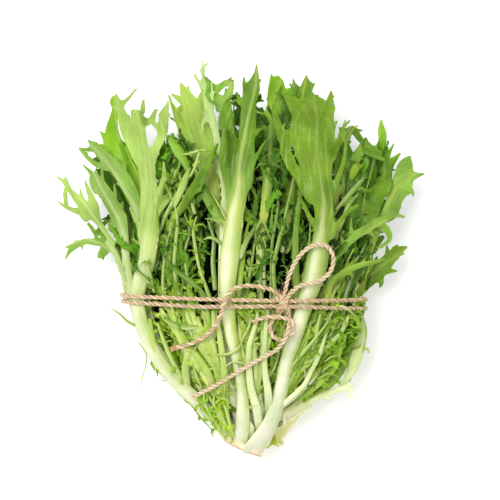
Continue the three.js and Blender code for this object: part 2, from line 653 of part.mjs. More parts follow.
// A taut turn of twine from one side of the knot round to the other. It touches the outermost ribs
// and runs straight from each to the next.
function turnGeometry(turn, leaves) {
  const touched = [...ribPointsUnder(turn, leaves), ...packedPoints()];
  const ring = [];
  for (let i = 0; i < TURN_CORNERS; i++) {
    const angle = Math.PI / 2 - (2 * Math.PI * i) / TURN_CORNERS;
    const outward = new THREE.Vector3(Math.cos(angle), 0, Math.sin(angle));
    const ahead = (p) => p.x * outward.x + p.z * outward.z;
    const support = touched.reduce((a, b) => (ahead(b) > ahead(a) ? b : a));
    ring.push(new THREE.Vector3(support.x, 0, support.z).addScaledVector(outward, TURN_STANDOFF));
  }
  // The ring is cut open at the knot, so it starts and ends with the two faces of the knot.
  const first = ring.findIndex((point) => point.x > KNOT.x + KNOT_HALF);
  const around = [...ring.slice(first), ...ring.slice(0, first)].filter(
    (point) => Math.abs(point.x - KNOT.x) > KNOT_HALF + 2 * TURN_LEAD || point.z < KNOT.z / 2);
  const path = new THREE.CurvePath();
  const leadAt = (x) => new THREE.Vector3(KNOT.x + x, 0, KNOT.z);
  const face = KNOT_HALF + 2 * GAP;
  const lead = face + TURN_LEAD;
  const stops = [leadAt(face), leadAt(lead), ...around, leadAt(-lead), leadAt(-face)];
  for (let i = 1; i < stops.length; i++)
    if (stops[i].distanceTo(stops[i - 1]) > GAP) path.add(new THREE.LineCurve3(stops[i - 1], stops[i]));
  const points = path.getSpacedPoints(TURN_STEPS);
  for (const point of points) point.y = levelOf(turn, point.x);
  return cordGeometry(points, TURN_STEPS);
}

// The knot: the two turns pass through it side by side, inside two crossed loops of the same twine.
function knotGeometry() {
  const parts = TURNS.map((turn) => {
    const y = levelOf(turn, KNOT.x);
    const ends = [-KNOT_HALF, KNOT_HALF].map((x) => new THREE.Vector3(KNOT.x + x, y, KNOT.z));
    return cordGeometry(ends, 1);
  });
  for (const lean of KNOT_LEANS) {
    const loop = new THREE.TorusGeometry(KNOT_LOOP_RADIUS, CORD_RADIUS, CORD_SIDES, KNOT_LOOP_STEPS);
    loop.rotateY(Math.PI / 2);
    loop.scale(1, KNOT_LOOP_STRETCH, 1);
    loop.rotateZ(lean * DEGREE);
    loop.translate(KNOT.x, KNOT.y, KNOT.z);
    parts.push(loop);
  }
  return geometryOf(parts.map(solidOf).reduce((whole, part) => whole.add(part)));
}

// ---- Heart ----------------------------------------------------------------------------------------

// The core's surface at the place u (0 to 1) along it and the angle round it.
function corePoint(u, angle) {
  const at = u * (CORE.length - 1);
  const i = Math.min(CORE.length - 2, Math.floor(at));
  const [a, b] = [CORE[i], CORE[i + 1]];
  const size = (key) => mix(a[key], b[key], at - i);
  return new THREE.Vector3(
    AXIS_X + size("half") * Math.cos(angle), size("y"), size("z") + size("rise") * Math.sin(angle));
}

function coreGeometry() {
  const positions = [];
  const index = [];
  CORE.forEach((_, row) => {
    for (let i = 0; i < CORE_SIDES; i++) {
      const angle = (2 * Math.PI * i) / CORE_SIDES;
      positions.push(...corePoint(row / (CORE.length - 1), angle).toArray());
    }
  });
  const [foot, top] = [CORE[0], CORE[CORE.length - 1]];
  positions.push(AXIS_X, foot.y, foot.z, AXIS_X, top.y, top.z);
  const footPoint = CORE.length * CORE_SIDES;
  const lastRow = footPoint - CORE_SIDES;
  for (let i = 0; i < CORE_SIDES; i++) {
    const next = (i + 1) % CORE_SIDES;
    index.push(i, next, footPoint, lastRow + next, lastRow + i, footPoint + 1);
    for (let row = 0; row < lastRow; row += CORE_SIDES) {
      const above = row + CORE_SIDES;
      index.push(row + i, above + i, above + next, row + i, above + next, row + next);
    }
  }
  const geometry = new THREE.BufferGeometry();
  geometry.setAttribute("position", new THREE.Float32BufferAttribute(positions, 3));
  geometry.setIndex(index);
  return geometry;
}

// A curly strand rooted inside the core, which leans forward as it leaves and bends on the way.
function strandGeometry(random) {
  const u = mix(0.06, 0.97, random());
  const angle = 2 * Math.PI * random();
  const foot = corePoint(u, angle);
  const middle = new THREE.Vector3(AXIS_X, foot.y, corePoint(u, 0).z);
  const outward = foot.clone().sub(middle).normalize();
  const lean = new THREE.Vector3(mix(-0.6, 0.6, random()), mix(0.1, 1.3, random()), 0);
  const heading = outward.clone().add(lean).normalize();
  const turn = new THREE.Vector3(mix(-1, 1, random()), mix(-0.4, 0.8, random()), mix(-1, 1, random()));
  const length = STRAND_LENGTH * mix(0.6, 1.15, random());
  const sheet = new Sheet();
  const flat = new THREE.Vector3().crossVectors(heading, turn).normalize();
  const across = new THREE.Vector3().crossVectors(heading, flat).normalize();
  const start = foot.clone().addScaledVector(outward, -STRAND_ROOT);
  const rows = [0, 0.55, 1].map((t) => {
    const point = start.clone().addScaledVector(heading, length * t)
      .addScaledVector(turn, length * 0.3 * t * t);
    const half = (STRAND_WIDTH / 2) * (1 - 0.8 * t);
    const edgePoint = (w) => point.clone().addScaledVector(across, w);
    return [-half, half].map((w) => sheet.add(edgePoint(w), flat, EDGE_THICKNESS / 2));
  });
  for (let i = 1; i < rows.length; i++) sheet.quad(...rows[i - 1], rows[i][1], rows[i][0]);
  return sheet.geometry();
}

// Only the strands that find room between the leaves are kept.
function heartGeometry() {
  const random = randomStream(HEART_SEED);
  let heart = solidOf(coreGeometry());
  for (let i = 0; i < STRANDS; i++) {
    const strand = solidOf(strandGeometry(random));
    if (isClear("heart", strand)) heart = heart.add(strand);
  }
  return geometryOf(heart);
}

// ---- Assembly -------------------------------------------------------------------------------------

const COLOURS = {
  fresh: 0x7cb342, deep: 0x4f8a2b, pale: 0xb5d27c, silver: 0x9cc177, yellow: 0xa8cf3f, white: 0xe8efc9,
  heart: 0x6f9f3a, stump: 0xe3cd9a, twine: 0xc39a6b,
};

const head = new THREE.Group();

// Hangs a piece in the group at the middle of its own box.
function addMesh(name, geometry, colour, roughness) {
  geometry.computeBoundingBox();
  const middle = geometry.boundingBox.getCenter(new THREE.Vector3());
  geometry.translate(-middle.x, -middle.y, -middle.z);
  const material = new THREE.MeshStandardMaterial({ color: COLOURS[colour], roughness, metalness: 0 });
  const mesh = new THREE.Mesh(geometry, material);
  mesh.name = name;
  mesh.position.copy(middle);
  head.add(mesh);
}

function addFirm(name, geometry, colour, roughness) {
  place(name, solidOf(geometry));
  addMesh(name, geometry, colour, roughness);
}

const SURFACE_BLOCK = [400, 400, 20]; // a block under the surface, larger than the head

// What would reach below the surface that the head lies on is cut flat on it.
function onSurface(geometry) {
  geometry.computeBoundingBox();
  if (geometry.boundingBox.min.z >= 0) return geometry;
  const below = new THREE.BoxGeometry(...SURFACE_BLOCK).translate(0, 0, -SURFACE_BLOCK[2] / 2);
  return geometryOf(solidOf(geometry).subtract(solidOf(below)));
}

const leaves = LEAVES.map(leafBody);
for (const { leaf, sheet } of leaves) place(leaf.name, solidOf(sheet.geometry()));
place("heart", solidOf(coreGeometry()));
addFirm("stump", stumpGeometry(), "stump", 0.8);
for (const turn of TURNS) addFirm(turn.name, turnGeometry(turn, leaves), "twine", 0.95);
addFirm("twine_knot", knotGeometry(), "twine", 0.95);
for (const { name, route, steps } of FREE_CORDS)
  addFirm(name, cordGeometry(route.map(vec), steps), "twine", 0.95);
for (const [order, leaf] of leaves.entries()) growLobes(leaf, randomStream(LEAF_SEED + order));
for (const { leaf, sheet } of leaves) addMesh(leaf.name, onSurface(sheet.geometry()), leaf.tone, 0.6);
addMesh("heart", heartGeometry(), "heart", 0.6);

export default head;
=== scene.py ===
"""A curly endive (frisee) head tied with jute twine, lying on its side, seen from straight above."""
import functools
import math

import bpy
import numpy as np
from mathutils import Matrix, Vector
from mathutils.bvhtree import BVHTree


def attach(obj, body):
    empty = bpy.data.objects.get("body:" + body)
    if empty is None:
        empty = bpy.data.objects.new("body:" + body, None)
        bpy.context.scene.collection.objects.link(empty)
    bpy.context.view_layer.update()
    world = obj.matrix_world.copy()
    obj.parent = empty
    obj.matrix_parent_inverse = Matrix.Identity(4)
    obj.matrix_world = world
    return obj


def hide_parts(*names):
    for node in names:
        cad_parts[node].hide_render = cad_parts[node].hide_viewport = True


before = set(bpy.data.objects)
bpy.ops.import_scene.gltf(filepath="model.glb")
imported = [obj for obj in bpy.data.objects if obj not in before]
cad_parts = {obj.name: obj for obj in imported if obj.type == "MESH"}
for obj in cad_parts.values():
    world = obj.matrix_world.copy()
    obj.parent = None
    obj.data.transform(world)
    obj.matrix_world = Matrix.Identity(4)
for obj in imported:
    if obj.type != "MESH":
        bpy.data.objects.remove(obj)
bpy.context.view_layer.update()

MM = 0.001  # everything below is worked out in millimetres and made in metres
BODY = "root"

# ---- Camera -----------------------------------------------------------------------------------------

VIEW_CENTRE = (6.8, 5.85)  # what the camera looks straight down on
VIEW_LEVEL = 62.0  # height at which the picture is VIEW_WIDTH wide
VIEW_WIDTH = 325.0
VIEW_HEIGHT = 1700.0
SENSOR_WIDTH = 36.0


def linked(name, data):
    """A new object in the scene."""
    made = bpy.data.objects.new(name, data)
    bpy.context.scene.collection.objects.link(made)
    return made


def make_camera():
    """Looks straight down, from far enough away to keep the perspective slight, as in the photo."""
    data = bpy.data.cameras.new("camera")
    data.sensor_width = SENSOR_WIDTH
    data.lens = SENSOR_WIDTH * VIEW_HEIGHT / VIEW_WIDTH
    data.clip_end = 10.0
    camera = linked("camera", data)
    camera.location = (VIEW_CENTRE[0] * MM, VIEW_CENTRE[1] * MM, (VIEW_LEVEL + VIEW_HEIGHT) * MM)
    bpy.context.scene.camera = camera


# ---- Small helpers ----------------------------------------------------------------------------------


def mix(a, b, t):
    """From a to b by the share t."""
    return a + (b - a) * t


def smooth(t):
    """0 below 0 and 1 above 1, with a soft step between them."""
    t = np.clip(t, 0, 1)
    return t * t * (3 - 2 * t)


def unit(v):
    """Each vector at length 1."""
    return v / np.maximum(np.linalg.norm(v, axis=-1, keepdims=True), 1e-9)


def colour(code):
    """The linear colour of an sRGB hex code."""
    value = np.array([int(code[i:i + 2], 16) / 255 for i in (0, 2, 4)])
    return np.where(value <= 0.04045, value / 12.92, ((value + 0.055) / 1.055) ** 2.4)


def catmull_rom(points, steps=24):
    """Evenly weighted Catmull-Rom curve through the points, as the solids use."""
    p = np.array(points, float)
    p = np.vstack([2 * p[0] - p[1], p, 2 * p[-1] - p[-2]])
    u = np.linspace(0, 1, steps, endpoint=False)[:, None]
    spans = []
    for a, b, c, d in zip(p, p[1:], p[2:], p[3:]):
        t0, t1 = (c - a) / 2, (d - b) / 2
        spans.append(b + t0 * u + (3 * (c - b) - 2 * t0 - t1) * u**2 + (2 * (b - c) + t0 + t1) * u**3)
    return np.vstack([*spans, p[-2][None]])


def distances(points):
    """How far along a line each of its points is."""
    return np.concatenate([[0], np.cumsum(np.linalg.norm(np.diff(points, axis=0), axis=1))])


def read_at(at, stations, values):
    """Every column of values, read at places between its stations."""
    return np.stack([np.interp(at, stations, column) for column in values.T], axis=1)


def respaced(points, spacing):
    """The same line with points at an even spacing, and its length."""
    along = distances(points)
    count = max(2, int(round(along[-1] / spacing)) + 1)
    return read_at(np.linspace(0, along[-1], count), along, points), along[-1]


def circle(sides):
    """Even angles round a full turn."""
    return 2 * math.pi * np.arange(sides) / sides


def carried_frame(points, start):
    """Tangent, normal and side along a line, the normal carried along it with no twist."""
    tangent = unit(np.gradient(points, axis=0))
    normal = np.empty_like(points)
    last = np.array(start, float)
    for i, t in enumerate(tangent):
        last = last - t * (last @ t)
        last = last / max(np.linalg.norm(last), 1e-9)
        normal[i] = last
    return tangent, normal, np.cross(tangent, normal)


def random_stream(seed):
    """The solids' own stream of numbers from 0 to 1, so that the lobes fall where theirs do."""
    state = seed & 0xFFFFFFFF
    while True:
        state = (state + 0x6D2B79F5) & 0xFFFFFFFF
        t = state
        t = ((t ^ (t >> 15)) * (t | 1)) & 0xFFFFFFFF
        t ^= (t + (((t ^ (t >> 7)) * (t | 61)) & 0xFFFFFFFF)) & 0xFFFFFFFF
        yield ((t ^ (t >> 14)) & 0xFFFFFFFF) / 4294967296


class Waves:
    """Soft seeded noise from -1 to 1 over a plane or through space, as a sum of waves."""

    def __init__(self, seed, size, dimensions=2, count=9):
        rng = np.random.default_rng(seed)
        heading = unit(rng.normal(size=(count, dimensions)))
        self.k = heading * rng.uniform(0.6, 1.7, (count, 1)) / size * 2 * math.pi
        self.phase = rng.uniform(0, 2 * math.pi, count)
        self.scale = math.sqrt(2 / count)

    def __call__(self, points):
        return np.clip(np.sin(points @ self.k.T + self.phase).sum(1) * self.scale * 0.7, -1, 1)


# ---- Meshes -----------------------------------------------------------------------------------------


class Shell:
    """Gathers the triangles of one piece. Each point has a tint and a place: millimetres along and
    across what it belongs to, and the share of the way from its middle to its edge."""

    def __init__(self):
        self.points, self.faces, self.tints, self.places = [], [], [], []
        self.count = 0

    def add(self, points, faces, tints, places=None):
        """One part of the piece. tints is one colour or a colour for each point."""
        n = len(points)
        self.points.append(np.asarray(points, float))
        self.faces.append(np.asarray(faces, int) + self.count)
        self.tints.append(np.broadcast_to(np.asarray(tints, float), (n, 3)))
        self.places.append(np.zeros((n, 3)) if places is None else places)
        self.count += n

    def build(self, name, material, slot, *solids):
        """Makes the piece, on the part's one body and in the place of these solids."""
        points = np.vstack(self.points) * MM
        faces = np.vstack(self.faces)
        mesh = bpy.data.meshes.new(name)
        mesh.vertices.add(len(points))
        mesh.vertices.foreach_set("co", points.ravel())
        mesh.loops.add(faces.size)
        mesh.loops.foreach_set("vertex_index", faces.ravel())
        mesh.polygons.add(len(faces))
        mesh.polygons.foreach_set("loop_start", np.arange(0, faces.size, 3))
        mesh.polygons.foreach_set("use_smooth", np.ones(len(faces), bool))
        tint = mesh.color_attributes.new("tint", "FLOAT_COLOR", "POINT")
        rgba = np.ones((len(points), 4))
        rgba[:, :3] = np.vstack(self.tints)
        tint.data.foreach_set("color", rgba.ravel())
        place = mesh.attributes.new("place", "FLOAT_VECTOR", "POINT")
        place.data.foreach_set("vector", np.vstack(self.places).ravel())
        mesh.update()
        mesh.validate()
        mesh.materials.append(material)
        piece = linked(name, mesh)
        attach(piece, BODY)
        for solid in solids:
            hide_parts(solid)
        return piece


def tube_faces(rows, sides):
    """The faces of a closed tube with a point at each end after its rows."""
    i = np.arange(sides)
    j = (i + 1) % sides
    faces = []
    for row in range(rows - 1):
        a, b = row * sides, (row + 1) * sides
        faces.append(np.stack([a + i, a + j, b + j], 1))
        faces.append(np.stack([a + i, b + j, b + i], 1))
    foot, tip = rows * sides, rows * sides + 1
    last = (rows - 1) * sides
    faces.append(np.stack([j, i, np.full(sides, foot)], 1))
    faces.append(np.stack([last + i, last + j, np.full(sides, tip)], 1))
    return np.vstack(faces)


def thicken(points, normals, half, faces):
    """Both faces of a sheet and the wall along its free edges."""
    n = len(points)
    both = np.vstack([points + normals * half[:, None], points - normals * half[:, None]])
    edges = np.vstack([faces[:, [0, 1]], faces[:, [1, 2]], faces[:, [2, 0]]])
    keys = edges[:, 0] * n + edges[:, 1]
    free = edges[~np.isin(keys, edges[:, 1] * n + edges[:, 0])]
    p, q = free[:, 0], free[:, 1]
    walls = np.vstack([np.stack([p, p + n, q + n], 1), np.stack([p, q + n, q], 1)])
    return both, np.vstack([faces, faces[:, ::-1] + n, walls])


def sheet_normals(points, faces):
    """The normal at each point, with each face counted by its area."""
    a, b, c = points[faces[:, 0]], points[faces[:, 1]], points[faces[:, 2]]
    face = np.cross(b - a, c - a)
    normals = np.zeros_like(points)
    for k in range(3):
        np.add.at(normals, faces[:, k], face)
    return unit(normals)


# ---- Materials --------------------------------------------------------------------------------------


class Nodes:
    """Short ways to make and join the nodes of one material."""

    def __init__(self, name):
        self.material = bpy.data.materials.new(name)
        self.material.use_nodes = True
        self.tree = self.material.node_tree
        self.shader = self.tree.nodes["Principled BSDF"]

    def feed(self, socket, value):
        """Gives a socket its value, or joins another node's output to it."""
        if isinstance(value, bpy.types.NodeSocket):
            self.tree.links.new(value, socket)
        else:
            socket.default_value = value

    def new(self, kind, inputs=None, **settings):
        """A node with its settings, and with a value or another node's output for some of its inputs."""
        node = self.tree.nodes.new(kind)
        for key, value in settings.items():
            setattr(node, key, value)
        for key, value in (inputs or {}).items():
            self.feed(node.inputs[key], value)
        return node

    def attribute(self, name, output):
        return self.new("ShaderNodeAttribute", attribute_name=name).outputs[output]

    def coords(self):
        return self.new("ShaderNodeTexCoord").outputs["Object"]

    def math(self, operation, a, b=0.0):
        return self.new("ShaderNodeMath", {0: a, 1: b}, operation=operation).outputs[0]

    def noise(self, vector, scale, detail, roughness=0.55):
        inputs = {"Vector": vector, "Scale": scale, "Detail": detail, "Roughness": roughness}
        return self.new("ShaderNodeTexNoise", inputs).outputs["Fac"]

    def cells(self, vector, scale, feature):
        inputs = {"Vector": vector, "Scale": scale}
        return self.new("ShaderNodeTexVoronoi", inputs, feature=feature).outputs["Distance"]

    def stretched(self, vector, scale):
        return self.new("ShaderNodeMapping", {"Vector": vector, "Scale": scale}).outputs["Vector"]

    def span(self, value, low, high, to_low=0.0, to_high=1.0):
        """Carries a value over from one range to another, and holds it at the second one's ends."""
        limits = {"From Min": low, "From Max": high, "To Min": to_low, "To Max": to_high}
        return self.new("ShaderNodeMapRange", {"Value": value, **limits}).outputs["Result"]

    def blend(self, kind, factor, a, b):
        """Blends the colour b into the colour a by the factor."""
        a, b = ((*side, 1.0) if isinstance(side, tuple) else side for side in (a, b))
        node = self.new("ShaderNodeMix", {0: factor, 6: a, 7: b}, data_type="RGBA", blend_type=kind)
        return node.outputs[2]

    def bump(self, height, strength, distance):
        node = self.new("ShaderNodeBump", {"Height": height, "Strength": strength, "Distance": distance})
        self.feed(self.shader.inputs["Normal"], node.outputs["Normal"])

    def finish(self, **values):
        """The material, with these values or outputs in its shader's sockets."""
        for key, value in values.items():
            self.feed(self.shader.inputs[key.replace("_", " ")], value)
        return self.material


STREAK_PACE = 0.008  # how slowly the streaks change along the rib, per millimetre
VEIN_SPACING = 8.5  # between side veins, in millimetres along the rib
VEIN_LEAN = 2.3  # how far they lean towards the tip for each millimetre outwards
VEIN_WANDER = 14.0
VEIN_HALF = 0.09  # half a vein's width, as a share of the spacing
LEAF_GLOW = 0.25  # share of light that passes into a blade
LEAF_BUMP = 0.0006  # the height of its relief, in metres
LEAF_GLOSS = 0.12


def leaf_material(name, roughness, gloss=LEAF_GLOSS):
    """Leaf flesh: its own tint, streaks along the rib, side veins, a fine net and soft mottling."""
    m = Nodes(name)
    place = m.attribute("place", "Vector")
    along, across, share = m.new("ShaderNodeSeparateXYZ", {0: place}).outputs
    # Streaks run along the petiole and fan out into the blade, at constant shares of its width.
    fan = m.new("ShaderNodeCombineXYZ", {0: m.math("MULTIPLY", along, STREAK_PACE), 1: share})
    streaks = m.noise(fan.outputs[0], 7.0, 3.0, 0.65)
    # Side veins leave the rib and lean towards the tip.
    lean = m.math("SUBTRACT", along, m.math("MULTIPLY", m.math("ABSOLUTE", across), VEIN_LEAN))
    wander = m.math("MULTIPLY", m.noise(m.stretched(place, (0.05, 0.09, 0)), 1.0, 1.0), VEIN_WANDER)
    phase = m.math("DIVIDE", m.math("ADD", lean, wander), VEIN_SPACING)
    ridge = m.math("ABSOLUTE", m.math("SUBTRACT", m.math("FRACT", phase), 0.5))
    vein = m.span(ridge, 0.0, VEIN_HALF, 1.0, 0.0)
    faint = m.math("MULTIPLY", vein, m.span(m.math("ABSOLUTE", share), 0.12, 1.0, 0.75, 0.15))
    cells = m.cells(m.stretched(place, (1.0, 1.0, 0)), 0.55, "DISTANCE_TO_EDGE")
    net = m.span(cells, 0.0, 0.12, 1.0, 0.0)
    coords = m.coords()
    patches = m.span(m.noise(coords, 55.0, 2.0), 0.3, 0.7)
    grain = m.noise(coords, 420.0, 2.0)
    mottled = m.blend("MIX", patches, (0.8, 0.88, 0.7), (1.14, 1.08, 1.1))
    toned = m.blend("MULTIPLY", 1.0, m.attribute("tint", "Color"), mottled)
    toned = m.blend("MULTIPLY", m.span(streaks, 0.42, 0.66, 0.0, 0.55), toned, (0.76, 0.84, 0.6))
    toned = m.blend("MIX", m.span(streaks, 0.26, 0.46, 0.3, 0.0), toned, (0.6, 0.76, 0.34))
    toned = m.blend("MIX", m.math("MULTIPLY", faint, 0.16), toned, (0.58, 0.7, 0.26))
    toned = m.blend("MIX", m.math("MULTIPLY", net, 0.07), toned, (0.55, 0.7, 0.3))
    height = m.math("MULTIPLY", faint, 0.5)
    for relief, weight in ((net, 0.16), (streaks, 0.35), (grain, 0.12)):
        height = m.math("ADD", height, m.math("MULTIPLY", relief, weight))
    m.bump(height, 0.55, LEAF_BUMP)
    return m.finish(Base_Color=toned, Roughness=roughness, Specular_IOR_Level=gloss,
                    Subsurface_Weight=LEAF_GLOW, Subsurface_Scale=0.0025, Subsurface_Radius=(0.7, 1.0, 0.25))


def twine_material():
    """Jute: tan fibres that run along each ply, some lighter and some browner."""
    m = Nodes("twine")
    fibres = m.noise(m.stretched(m.attribute("place", "Vector"), (0.16, 3.2, 0)), 1.0, 4.0, 0.65)
    patches = m.noise(m.coords(), 90.0, 2.0)
    tint = m.attribute("tint", "Color")
    brown = m.blend("MULTIPLY", 1.0, tint, (0.52, 0.44, 0.36))
    light = m.blend("MULTIPLY", 1.0, tint, (1.25, 1.25, 1.22))
    toned = m.blend("MIX", m.span(fibres, 0.32, 0.68), brown, light)
    toned = m.blend("MULTIPLY", m.span(patches, 0.4, 0.7, 0.0, 0.35), toned, (0.75, 0.66, 0.56))
    m.bump(fibres, 0.7, 0.0005)
    return m.finish(Base_Color=toned, Roughness=0.9, Specular_IOR_Level=0.2,
                    Sheen_Weight=0.25, Sheen_Roughness=0.6)


def stump_material():
    """The cut end: a dried tan face with rings of sap tubes, and pale flesh down the sides."""
    m = Nodes("stump")
    coords = m.coords()
    rings = m.noise(m.stretched(coords, (1.0, 0.35, 1.0)), 160.0, 4.0, 0.6)
    pits = m.cells(coords, 520.0, "F1")
    toned = m.blend("MULTIPLY", m.span(rings, 0.35, 0.7, 0.0, 0.7), m.attribute("tint", "Color"),
                    (0.72, 0.55, 0.32))
    toned = m.blend("MULTIPLY", m.span(pits, 0.0, 0.35, 0.5, 0.0), toned, (0.6, 0.45, 0.28))
    m.bump(m.math("ADD", rings, m.math("MULTIPLY", pits, 0.5)), 0.5, 0.0006)
    return m.finish(Base_Color=toned, Roughness=0.75)


# ---- The head's outline -----------------------------------------------------------------------------

# From stump to tips: y, half the width, and the heights of the top and the underside.
OUTLINE = np.array([(-121, 12, 45, 21), (-105, 25, 58, 14), (-90, 42, 68, 7), (-75, 58, 75, 3),
                    (-55, 72, 82, 2), (-27, 80, 87, 5)], float)
AXIS_X = 3.0
TIE_Y = -27.0
STUMP_X, STUMP_Z = 2.0, 33.0
CUT_SLANT = -0.42
RINGS = [  # y, radius, and the y of the points where the ribs follow the outline
    (-119, 12.4, (-98, -75, -50)),
    (-109, 11.6, (-88, -70, -48)),
    (-99, 11.0, (-80, -64, -46)),
    (-90, 9.0, (-73, -60, -45)),
]


def outline_at(y):
    """Half the width, the middle height and half the height of the head at y, and past the tie as at it."""
    half, top, bottom = (np.interp(y, OUTLINE[:, 0], OUTLINE[:, k]) for k in (1, 2, 3))
    return half, (top + bottom) / 2, (top - bottom) / 2


# ---- Places drawn over the photo --------------------------------------------------------------------

# The lobes, strands and tangles were drawn over the photo, so their tables give places, widths and
# sizes in its pixels, with x to the right and y down.
PIXEL = VIEW_WIDTH / 500  # its size in millimetres, as the photo is 500 pixels wide
ORIGIN_X, ORIGIN_Y = 239.5, 259  # where the frame's origin lies in the photo


def to_tenth(value):
    """The nearest tenth of a millimetre."""
    return round(value, 1)


def to_half(value):
    """The nearest half of a millimetre."""
    return round(value * 2) / 2


def from_photo(x, y, nearest):
    """The place of one of the photo's pixels in millimetres, rounded by the function nearest."""
    return nearest((x - ORIGIN_X) * PIXEL), nearest((ORIGIN_Y - y) * PIXEL)


# ---- Twine ------------------------------------------------------------------------------------------

CORD_RADIUS = 1.5
PLIES = 2
PLY_RADIUS = 0.8
PLY_OFFSET = 0.68  # from the cord's middle to a ply's
PLY_PITCH = 7.6  # one whole turn of a ply round the cord
PLY_SIDES = 10
PLY_STEP = 0.8
KNOT = np.array([27.6, -28.4, 86.7])
KNOT_HALF = 4.4
KNOT_LOOP_RADIUS = 2.7
KNOT_LOOP_STRETCH = 1.95
KNOT_LEANS = (44, -40)
TURNS = {
    "twine_turn_upper": [(-90, -23.4), (-26, -25.6), (29, -26.95), (84, -26.6)],
    "twine_turn_lower": [(-90, -26.9), (-26, -30.6), (29, -30.25), (84, -32.6)],
}
FREE_CORDS = {
    "twine_loop_right": [
        (29.2, -21.4, 87.6), (30.6, -14.5, 89.4), (34, -5, 91.5), (40, 4, 94), (48, 9, 95.5), (56, 8, 95),
        (60, 1, 93), (58, -8, 90.5), (51, -14, 90.5), (42, -16, 91), (37, -18, 89.6), (33, -21.8, 87.6)],
    "twine_tail_left": [
        (23.6, -21.4, 88.4), (18.6, -19, 89.4), (12, -17.6, 90.8), (3, -17, 93), (-5, -20, 95.5),
        (-9.5, -27, 96), (-11.5, -34, 94), (-15, -42, 90), (-23, -50, 84.5), (-33, -55, 79.5),
        (-44, -58, 75)],
    "twine_loop_low": [
        (8, -40, 86), (16, -37.4, 88), (24, -37, 89), (31.4, -38.6, 88.6), (35, -43, 86.5), (32.8, -49, 83.4),
        (27, -52, 81.6), (21.4, -49.4, 81.4), (19.6, -44, 81.8), (21.4, -39, 82.6), (25, -35.6, 84)],
    "twine_tail_right": [
        (31.6, -35.4, 84.4), (32, -39.5, 83.9), (31, -46, 85.8), (28.6, -52.4, 86.4), (23, -58.6, 84.4),
        (15, -63, 81.5), (0, -72, 77.5), (-16, -82, 71), (-31, -90, 63)],
}
# Where each free cord goes on inside the knot, before its first and after its last point.
DRAWN_IN = {
    "twine_loop_right": ([(26.4, -29.6, 88), (28, -25.6, 90)], [(30.4, -25.4, 90.4), (27.6, -29.8, 89.4)]),
    "twine_tail_left": ([(29.4, -29.4, 88.4), (27, -25.2, 89.6)], []),
    "twine_loop_low": ([], [(28, -31.4, 88), (30.6, -27, 89.4)]),
    "twine_tail_right": ([(26.8, -26.2, 89.2), (30, -31, 88.6)], []),
}
# How far the plies of a cut end open, how much it swells, and its tint.
ENDS = {
    "twine_tail_left": (0.0, 0.45, (0.8, 0.62, 0.42)),
    "twine_tail_right": (0.9, 0.0, (1.12, 1.1, 1.0)),
}
ENTERS_LAST = ("twine_loop_low",)  # the free cords whose last point is the one at the knot
# painted shade in the groove between the plies
GROOVE_SHADE = np.array([0.66, 0.55, 0.45])
TWINE_TINTS = [colour("f3ddba"), colour("dfc29a"), colour("f3e3c6")]
TWINE_RIGHT_SHADE = np.array([0.82, 0.8, 0.68])  # the turns to the right of the knot
TWINE_KNOT_SHADE = np.array([0.92, 0.89, 0.83])
END_LENGTH = 7  # the last stretch of a cut end, where its plies open
FUZZ_ROWS = 5
FUZZ_HALF = 0.09  # half the thickness of a loose fibre at its foot
FUZZ_LOWEST = 0.4
CORD_FUZZ = 0.5  # loose fibres for each millimetre of a free cord
TURN_FUZZ = 90  # and for each turn
KNOT_FUZZ = 110


def twine_shade(points):
    """Painted shade at the knot and along the turns to the right of it."""
    rightward = smooth((points[:, 0] - KNOT[0] - 7) / 16) * smooth((KNOT[1] + 9 - points[:, 1]) / 5)
    near_knot = np.exp(-((points[:, 0] - KNOT[0]) ** 2 + (points[:, 1] - KNOT[1]) ** 2) / 9.0**2)
    return mix(1.0, TWINE_RIGHT_SHADE, rightward[:, None]) * mix(1.0, TWINE_KNOT_SHADE, near_knot[:, None])


